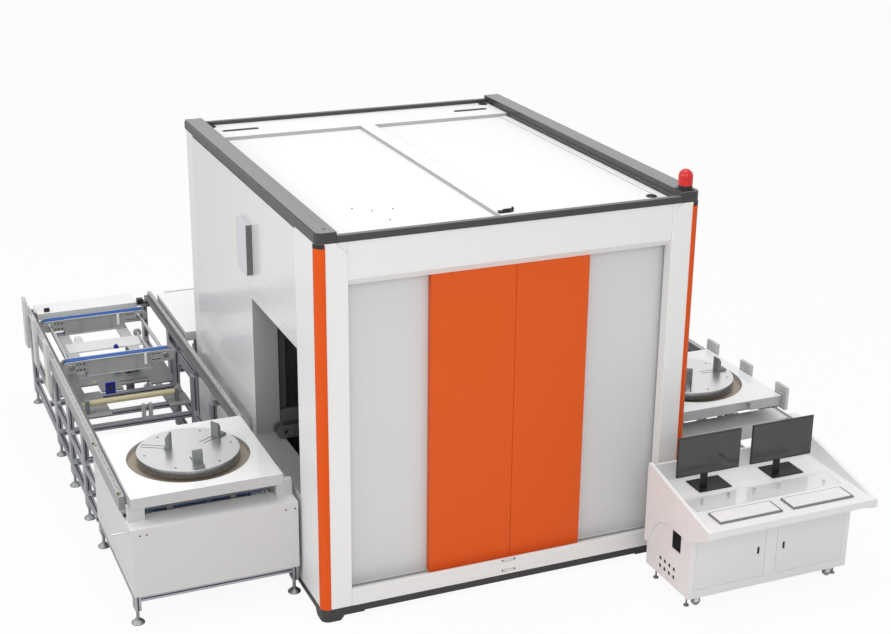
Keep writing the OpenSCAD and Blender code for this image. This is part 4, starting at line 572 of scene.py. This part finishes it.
# ---- Line frames and feet ----
# Natural anodised T-slot profile, 80 by 40 and 40 by 40, a soft silver with dark PVC covers
# clipped in its slots, screwed together with cast corner brackets; zinc-plated feet.
def metal(name, code, rough=0.35, streak=(1.0, 1.0, 1.0), grain=0.004, depth=0.05, rings=None,
          painted_top_light=""):
    """Bare metal. Fine noise, stretched along the way it was drawn, rolled or milled, varies
    its roughness and lifts it a little. Rings is the centre of the marks of a lathe's tool,
    1 mm apart and drawn 12 mm coarse so that they show: a wave's period is 0.314 / scale.
    The colour given for the tops, if any, is that of faces that look up: painted light."""
    material, tree, shader, place = new_finish(name)
    shader.inputs["Metallic"].default_value = 1.0
    drawn = add(tree, "Mapping", {"Vector": place, "Scale": streak})
    lines = add(tree, "TexNoise", {"Vector": drawn.outputs[0], "Scale": 1 / grain, "Detail": 3.0})
    height = lines.outputs[0]
    if rings:
        centred = add(tree, "Mapping", {"Vector": place, "Location": (-rings[0], -rings[1], 0)})
        marks = add(tree, "TexWave", {"Vector": centred.outputs[0], "Scale": 0.314 / 0.012,
                                      "Distortion": 0.4}, wave_type="RINGS", rings_direction="Z")
        height = add(tree, "Mix", {0: 0.6, 2: height, 3: marks.outputs[1]}).outputs[0]
    tone = blend(tree, height, darker(code, 0.12), linear_rgb(code))
    tree.links.new(with_painted_top_light(tree, tone, painted_top_light), shader.inputs["Base Color"])
    grain_surface(tree, shader, height, rough - 0.06, rough + 0.08, depth, 0.001)
    return material


anodised = metal("anodised_profile", "#B6B7BE", 0.40)
dressed("line_frames", anodised, 0.001)
profile_faces, shortest_bar = 70, 0.3
bar_pitch, cover_half = 0.040, 0.0048
cover_sunk, cover_root = 0.0012, 0.0030
frames = merged(frame["nodes"]["line_frames"].data)
slot_covers = []
for found in solids_of(frames):
    low, high = corners(found)
    wide = high - low
    if len(found) < profile_faces or wide.max() < shortest_bar:
        continue
    across = [axis for axis in range(3) if axis != int(np.argmax(wide))]
    for out, over in (across, across[::-1]):
        for k in range(round(wide[over] / bar_pitch)):
            middle = low[over] + (k + 0.5) * bar_pitch
            for outer, inner in ((low[out] + cover_sunk, low[out] + cover_root),
                                 (high[out] - cover_root, high[out] - cover_sunk)):
                start, end = low.copy(), high.copy()
                start[out], end[out] = outer, inner
                start[over], end[over] = middle - cover_half, middle + cover_half
                slot_covers.append(block(start, end))
frames.free()
slot_pvc = powder_coat("dark_slot_cover_pvc", "#3C3C42", 0.5)
piece("slot_covers", joined(*slot_covers), slot_pvc, "cabinet")
foot_zinc = metal("zinc_plated_foot", "#9FA2A2", 0.42)
dressed("levelling_feet", foot_zinc, 0.001)

bracket_angle = [(0, 0), (0.034, 0), (0.034, 0.004), (0.012, 0.012), (0.004, 0.034), (0, 0.034)]
beams_x = (-2.413, -1.475)
beam_tops = (0.2082, 0.4432)
posts_y = (0.4052, 0.9728, 1.549, 2.6627)
post_gap, post_deep = 0.0002, 0.0805
brackets = []
for x in beams_x:
    for z in beam_tops:
        brackets += [prism([(y - post_gap - along, z + up) for along, up in bracket_angle],
                           x + 0.003, x + 0.037, 0) for y in posts_y]
        brackets += [prism([(y + post_deep + along, z + up) for along, up in bracket_angle],
                           x + 0.003, x + 0.037, 0) for y in posts_y[:3]]
piece("frame_brackets", joined(*brackets), metal("cast_bracket", "#A3A6A8", 0.45), "cabinet",
      0.0008)

# ---- Side rails ----
# Hard anodised guide bars, dark grey with a painted highlight on their tops and a row of
# # tapped holes, over dark ledges that carry the pallets' rims. The return bay's rear bar has
# # the pallets' enamel.
rail_finish = powder_coat("grey_guide_rail", "#838484", 0.32, 0.03, 0.08, shine=0.5,
                          painted_top_light="#B4B5B5")
ledge_finish = powder_coat("dark_ledge", "#6C6D6D", 0.4, 0.03, 0.1)
# The pallets' enamel is grey with painted light: white where a face looks up, painted shade on the
# sides.
pallet_gloss = powder_coat("pallet_enamel", "#BBBAB9", 0.12, 0.008, 0.015, coat=0.3, shine=0.4,
                           painted_top_light="#F6F6F6")
over_ledges, over_rails = 0.83, 0.88
ledge_tall = 0.03
dressed("side_rails", rail_finish, 0.001, others=[
    (ledge_finish, lambda low, high: high[2] < over_ledges and high[2] - low[2] < ledge_tall),
    (pallet_gloss, lambda low, high: high[2] > over_rails)])

# ---- Stations ----
# Belt units of milled aluminium between sheet-steel covers, with bent end blocks over the
# # rails' ends: satin grey, with painted light that makes them whiter on top. Stop plates of
# # pale sheet stand outside the rails.
machined = metal("machined_plate", "#8C8D8D", 0.38, (0.08, 1.0, 1.0))
dressed("station_units", machined, 0.001)
cover_coat = powder_coat("cover_enamel", "#CDCCCB", 0.38, 0.03, 0.03, fleck=0.05, coat=0.05,
                         shine=0.3, painted_top_light="#F2F2F1")
peg_steel = metal("turned_peg", "#C9CBCB", 0.3)
peg_long, peg_thick = 0.12, 0.02
dressed("station_covers", cover_coat, 0.0012, others=[
    (peg_steel, lambda low, high: high[0] - low[0] < peg_long and high[2] - low[2] < peg_thick)])
stop_coat = powder_coat("stop_plate_coat", "#C9C8C6", 0.4, 0.03, 0.03)
dressed("stop_plates", stop_coat, 0.0015)


# ---- Belts ----
# Closed toothed belts under the pallets' rims: blue polyurethane with a matt woven cover on
# the line, and a dark grey one inside the cabinet.
def woven_belt(name, code):
    """A polyurethane timing belt. Two waves at right angles, 3 mm apart and drawn 8 mm coarse
    so that they show, give the weave of its cover cloth."""
    material, tree, shader, place = new_finish(name)
    over = add(tree, "TexWave", {"Vector": place, "Scale": 0.314 / 0.008}, bands_direction="X")
    under = add(tree, "TexWave", {"Vector": place, "Scale": 0.314 / 0.008}, bands_direction="Y")
    weave = add(tree, "Math", {0: over.outputs[1], 1: under.outputs[1]}, operation="MULTIPLY")
    tone = blend(tree, weave.outputs[0], darker(code, 0.25), linear_rgb(code))
    tree.links.new(tone, shader.inputs["Base Color"])
    lift = add(tree, "Bump", {"Height": weave.outputs[0], "Strength": 0.3, "Distance": 0.001})
    tree.links.new(lift.outputs[0], shader.inputs["Normal"])
    shader.inputs["Roughness"].default_value = 0.55
    shader.inputs["Specular IOR Level"].default_value = 0.3
    return material


belt_blue = woven_belt("blue_belt", "#2864B8")
belt_dark = woven_belt("dark_belt", "#3E4042")
wall_inner = 1.25
dressed("station_belts", belt_blue, 0.0008, 1, [
    (belt_dark, lambda low, high: low[0] > -wall_inner and high[0] < wall_inner)])

# ---- Screws and sensors of the stations ----
# Blackened button-head screws in the covers' fronts, and three light sensors on the rails:
# small black moulded heads with a dull yellow end cap.
cover_screws = [(x, -1.15, 0.642) for x in (-2.349, -2.306, -1.405, -1.344)]
cover_screws += [(x, -1.2, 0.645) for x in (1.40, 1.44, 2.30, 2.34)]
piece("cover_screws", repeat(turned(button_head, (0, 0.001, 0), (0, -1, 0), 12), cover_screws),
      black_steel, "cabinet")
sensor_black = powder_coat("sensor_black_plastic", "#1E1E1E", 0.4)
sensor_yellow = powder_coat("sensor_yellow_plastic", "#B9A94A", 0.45)
on_rail = 0.8523
heads = [(-2.437, -0.170, on_rail), (-2.437, -0.967, on_rail), (2.300, -1.040, on_rail)]
head_rim = [(0, 0), (0.014, 0), (0.014, 0.007), (0.012, 0.009), (0.002, 0.009), (0, 0.007)]
cap_rim = [(0.002, 0.001), (0.012, 0.001), (0.012, 0.006), (0.010, 0.008), (0.004, 0.008),
           (0.002, 0.006)]
piece("sensor_bodies", repeat(joined(prism(head_rim, 0, 0.022, 1),
                                     prism(cap_rim, 0.0221, 0.030, 1)), heads),
      sensor_black, "cabinet", 0.0008)
piece("sensor_caps", repeat(prism(cap_rim, -0.007, -0.0001, 1), heads), sensor_yellow,
      "cabinet", 0.0008)

# ---- Cross transfer ----
# Two lifting belt units of painted channel between end plates, joined by cross plates: mid
# # grey with painted light, paler where it faces up, with a white deck plate. Ground shafts
# # shine in bearings pressed into the end plates; white spacers and dark bolts hold the plates.
unit_coat = powder_coat("transfer_grey_coat", "#A4A5A5", 0.4, 0.04, 0.1, fleck=0.05, shine=0.45,
                        painted_top_light="#C6C6C6")
deck_white = powder_coat("deck_white_coat", "#E9E9E8", 0.4, 0.03, 0.02)
deck_long, deck_wide = 0.55, 0.2
dressed("transfer_frame", unit_coat, 0.001, others=[
    (deck_white, lambda low, high: high[0] - low[0] > deck_long and high[1] - low[1] > deck_wide)])
dressed("transfer_belts", belt_blue, 0.0008, 1)
ground = metal("ground_shaft", "#C4C6C6", 0.25, (1.0, 0.03, 1.0))
dressed("drive_shaft", ground, 0.0008)
dressed("idler_shaft", ground, 0.0008)
near_unit, far_unit = 1.445, 2.395
shafts = [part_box("drive_shaft"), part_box("idler_shaft")]
axle_xs = sorted((low[0] + high[0]) / 2 for low, high in shafts)
axle_z = (shafts[0][0][2] + shafts[0][1][2]) / 2
bearing = turned([(0, 0.026), (0.004, 0.026), (0.005, 0.024), (0.005, 0.019), (0.003, 0.018),
                  (0.003, 0.0155)], axis=(0, -1, 0))
piece("axle_bearings", repeat(bearing, [(x, y, axle_z) for x in axle_xs
                                        for y in (near_unit, far_unit)]),
      ground, "cross_transfer")
bolt = [(0, 0.0065), (0.005, 0.0065), (0.0062, 0.0052), (0.0062, 0.0030), (0.004, 0.0026),
        (0.004, 0.0002)]
spacer = joined(block((-0.011, -0.004, -0.052), (0.011, -0.0002, 0.042)),
                repeat(turned(bolt, (0, -0.004, 0), (0, -1, 0), 10),
                       [(0, 0, z) for z in (-0.040, -0.016, 0.008, 0.032)]))
piece("unit_spacers", repeat(spacer, [(-1.737, far_unit, axle_z), (-1.720, near_unit, axle_z)]),
      deck_white, "cross_transfer", 0.0006)
left_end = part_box("transfer_frame")[0][0]
bolts_at = [(left_end + x, y, axle_z + z) for y in (near_unit, far_unit)
            for x in (0.112, 0.140, 0.168) for z in (-0.022, 0.022)]
piece("unit_bolts", repeat(turned(bolt, axis=(0, -1, 0), steps=10), bolts_at), black_steel,
      "cross_transfer")

# ---- Fittings ----
# Plates, stands and sleeves on the middle beams in dark grey paint, paler on top as painted
# # light, a deep blue drive bracket with a black square port, a cream knob and a cream rubber
# # roller, all of a dull satin.
fitting_grey = powder_coat("fitting_grey_coat", "#747676", 0.42, 0.05, 0.1, shine=0.4,
                           painted_top_light="#8F9191")
bracket_blue = powder_coat("blue_bracket_coat", "#1A2A9C", 0.4, 0.03)
cream = powder_coat("cream_moulding", "#C8BE96", 0.5, 0.05, 0.06)
fitting_pale = powder_coat("pale_fitting_coat", "#A9ABAB", 0.4, 0.05, 0.08)
dressed("line_fittings", fitting_grey, 0.001, others=[
    (bracket_blue, spans(2, 0.091, 0.093)), (fitting_pale, spans(2, 0.117, 0.119)),
    (cream, spans(2, 0.016, 0.018))])
roller_cream = powder_coat("cream_roller_rubber", "#CBC19A", 0.5)
dressed("guide_roller", roller_cream, 0.0008)
port_x, port_y, port_z, port_half = -1.974, 1.622, 0.490, 0.020
port_face = port_y - 0.004
piece("drive_port", joined(
    block((port_x - port_half, port_face, port_z - port_half),
          (port_x + port_half, port_y - 0.0001, port_z + port_half)),
    turned([(0, 0.012), (0.008, 0.012), (0.010, 0.009)], (port_x, port_face, port_z),
           (0, -1, 0))),
    black_steel, "cabinet", 0.001)

# ---- Valves, line sensors and end boxes ----
# Two teal moulded valve blocks on the fitting plate, joined by black couplings; a blue sensor
# on the lifting deck; black boxes at the line's far end. All are plain satin mouldings.
teal = powder_coat("teal_valve_plastic", "#1E6A84", 0.4)
valve_floor = 0.4536
valve = joined(block((0, 0, 0), (0.030, 0.040, 0.026)),
               turned([(0, 0.007), (0.018, 0.007), (0.020, 0.005)], (0.015, 0.020, 0.026)))
piece("valve_blocks", repeat(valve, [(x, 1.980, valve_floor) for x in (-1.867, -1.696)]), teal,
      "cabinet", 0.0015)
piece("valve_coupling", joined(
    block((-1.782, 1.960, valve_floor), (-1.745, 1.990, 0.475)),
    turned([(0, 0.009), (0.0385, 0.009)], (-1.8365, 1.995, 0.466), (1, 0, 0), 12),
    turned([(0, 0.009), (0.0485, 0.009)], (-1.7450, 1.975, 0.466), (1, 0, 0), 12)),
    black_steel, "cabinet", 0.001)
deck_z = 0.6926
lift_sensor_top = deck_z + 0.022
piece("lift_sensor_blue", joined(
    block((-1.868, 1.925, deck_z), (-1.834, 1.962, lift_sensor_top)),
    turned([(0, 0.006), (0.012, 0.006), (0.013, 0.005)], (-1.851, 1.943, lift_sensor_top),
           steps=12)),
    bracket_blue, "cross_transfer", 0.002)
rail_face = 0.8522
piece("line_end_boxes", joined(
    block((-1.556, 2.452, rail_face), (-1.506, 2.508, 0.893)),
    turned([(0, 0.009), (0.006, 0.009), (0.007, 0.007)], (-1.531, 2.452, 0.874), (0, -1, 0), 16),
    block((-2.306, 2.540, rail_face), (-2.262, 2.566, 0.882))),
    sensor_black, "cabinet", 0.003)

# ---- Pallets ----
# Glossy white moulded pallets with a round well, enamelled grey with painted light: white
# # where a face looks up. The well's floor is tan laminated board, on which a turned aluminium
# # table, ringed by the tool and with painted light on its paler top, carries three steel jaws
# # on T-slot keys.
board = powder_coat("tan_laminated_board", "#B2A596", 0.5, 0.05, 0.08, fleck=0.10)
jaw_steel = powder_coat("jaw_grey_steel", "#747777", 0.36, 0.04, 0.08, shine=0.5)
well_floor = spans(2, most=0.0095)
dressed("left_pallet", pallet_gloss, 0.0025, others=[(board, well_floor)])
dressed("right_pallet", pallet_gloss, 0.0025, others=[(board, well_floor)])
dressed("return_pallet", pallet_gloss, 0.004, 3)
for side in ("left", "right"):
    low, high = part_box(side + "_turntable")
    table_metal = metal(side + "_turned_table", "#AFB0B0", 0.30, grain=0.006, depth=0.03,
                        rings=((low[0] + high[0]) / 2, (low[1] + high[1]) / 2),
                        painted_top_light="#DADBDC")
    dressed(side + "_turntable", table_metal, 0.0012)
    for jaw in "abc":
        dressed("%s_jaw_%s" % (side, jaw), jaw_steel, 0.0015)

# ---- Console ----
# A desk of folded sheet steel in a pale, finely textured grey, paler on top as painted
# # light, with nylon-wheeled castors, black quarter-turn latches in its doors, and in its left
# # side an air inlet behind a black wire screen and eight blanked cable glands.
desk_coat = powder_coat("console_coat", "#E3E3E3", 0.42, 0.06, 0.03, fleck=0.04, shine=0.3,
                        painted_top_light="#EFEFEF")
door_grey = powder_coat("console_door_coat", "#E1E1E1", 0.42, 0.06, 0.03, fleck=0.05, shine=0.3)
wheel = powder_coat("grey_nylon_wheel", "#8E9090", 0.5)
wheel_tall = 0.07
dressed("console_body", desk_coat, 0.0012, others=[
    (wheel, lambda low, high: high[2] < wheel_tall and high[0] - low[0] < wheel_tall)])
dressed("console_desk", desk_coat, 0.0012)
dressed("console_left_door", door_grey, 0.0012)
dressed("console_right_door", door_grey, 0.0012)
con_x, con_y = 0.93, -2.295
latch_round, latch_half, latch_z = 0.0078, 0.018, 0.347
round_end = np.radians(np.linspace(0, 180, 9))
half_rim = np.column_stack([latch_round * np.cos(round_end),
                            latch_half + latch_round * np.sin(round_end)])
latch_rim = np.concatenate([half_rim, -half_rim])
for name, x in (("left", 1.4465), ("right", 1.6425)):
    piece("console_latch_" + name, joined(
        prism(latch_rim + [x, latch_z], con_y + 0.0005, con_y + 0.0078, 1),
        turned([(0, 0.0052), (0.003, 0.0052), (0.0036, 0.004)],
               (x, con_y + 0.0004, latch_z + 0.013), (0, -1, 0), 16)),
        sensor_black, "console_door_" + name, 0.0006)
wire, wire_pitch = 0.0016, 0.0054
vent_near, vent_far, vent_low, vent_high = con_y + 0.1252, con_y + 0.2328, 0.3602, 0.4898
wires = [block((con_x + 0.0040, y, vent_low), (con_x + 0.0055, y + wire, vent_high))
         for y in np.arange(con_y + 0.129, con_y + 0.232, wire_pitch)]
wires += [block((con_x + 0.0056, vent_near, z), (con_x + 0.0071, vent_far, z + wire))
          for z in np.arange(0.3645, 0.489, wire_pitch)]
wires.append(block((con_x + 0.009, vent_near, vent_low), (con_x + 0.0095, vent_far, vent_high)))
piece("console_vent_screen", joined(*wires), sensor_black, "cabinet")
gland = turned([(-0.012, 0.0136), (-0.002, 0.0136), (-0.0004, 0.0122), (-0.0004, 0.0088),
                (-0.003, 0.0078), (-0.003, 0.0003)], axis=(-1, 0, 0), steps=20)
gland_pitch = 0.057
piece("console_glands", repeat(gland, [(con_x, con_y + 0.189 + gland_pitch * i,
                                        0.159 + gland_pitch * j)
                                       for i in range(4) for j in range(2)]),
      sensor_black, "cabinet")

# ---- Clear shelf ----
# A strip of 6 mm cast acrylic on five turned aluminium pegs over the desk. It is clear, with
# the slight haze of fine scratches 3 mm apart.
clear, tree, shader, place = new_finish("clear_acrylic")
shader.inputs["Base Color"].default_value = plain_white
shader.inputs["Transmission Weight"].default_value = 1.0
shader.inputs["IOR"].default_value = 1.49
shader.inputs["Alpha"].default_value = 0.4
haze = add(tree, "TexNoise", {"Vector": place, "Scale": 1 / 0.003, "Detail": 2.0})
sheen = add(tree, "MapRange", {0: haze.outputs[0], 3: 0.01, 4: 0.05})
tree.links.new(sheen.outputs[0], shader.inputs["Roughness"])
peg_alu = metal("turned_shelf_peg", "#D6D8D8", 0.3)
dressed("glass_shelf", clear, 0.0006, 1, [(peg_alu, spans(0, most=0.05))])

# ---- Keyboards ----
# Two full-size keyboards of moulded ABS. The faces whose middle lies above the base's own
# face are the keys: matt white on a mid-grey base.
key_plastic = powder_coat("key_white_plastic", "#FAFAFA", 0.5, 0.05, 0.03)
base_plastic = powder_coat("keyboard_base_plastic", "#7C7D7D", 0.5)
base_face = 0.7025
boards = dressed("keyboards", base_plastic, 0.0006, 1)
boards.data.materials.append(key_plastic)
middles = np.empty(3 * len(boards.data.polygons))
boards.data.polygons.foreach_get("center", middles)
boards.data.polygons.foreach_set("material_index", (middles[2::3] > base_face).astype(np.int32))

# ---- Monitors ----
# Flat screens on folded steel stands: a glass face in a thin moulded bezel. The glass is a
# # dark grey with painted reflection, lighter than black glass, and it also mirrors the room;
# # the bezel round it stays matt.
stand_black = powder_coat("stand_black_coat", "#1A1A1A", 0.4, 0.05, 0.1)
dressed("monitor_stands", stand_black, 0.0015)
bezel = powder_coat("monitor_bezel_plastic", "#2C2C2C", 0.4, 0.08)
glass_black = powder_coat("monitor_glass", "#363637", 0.05, 0.0, 0.03, coat=0.4, shine=0.5)
bezel_side, bezel_foot = 0.006, 0.012
for side in ("left", "right"):
    dressed(side + "_monitor", bezel, 0.0015)
    low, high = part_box(side + "_monitor")
    piece(side + "_screen", block((low[0] + bezel_side, low[1] - 0.0006, low[2] + bezel_foot),
                                  (high[0] - bezel_side, low[1] - 0.0001, high[2] - bezel_side)),
          glass_black, "monitor_" + side)
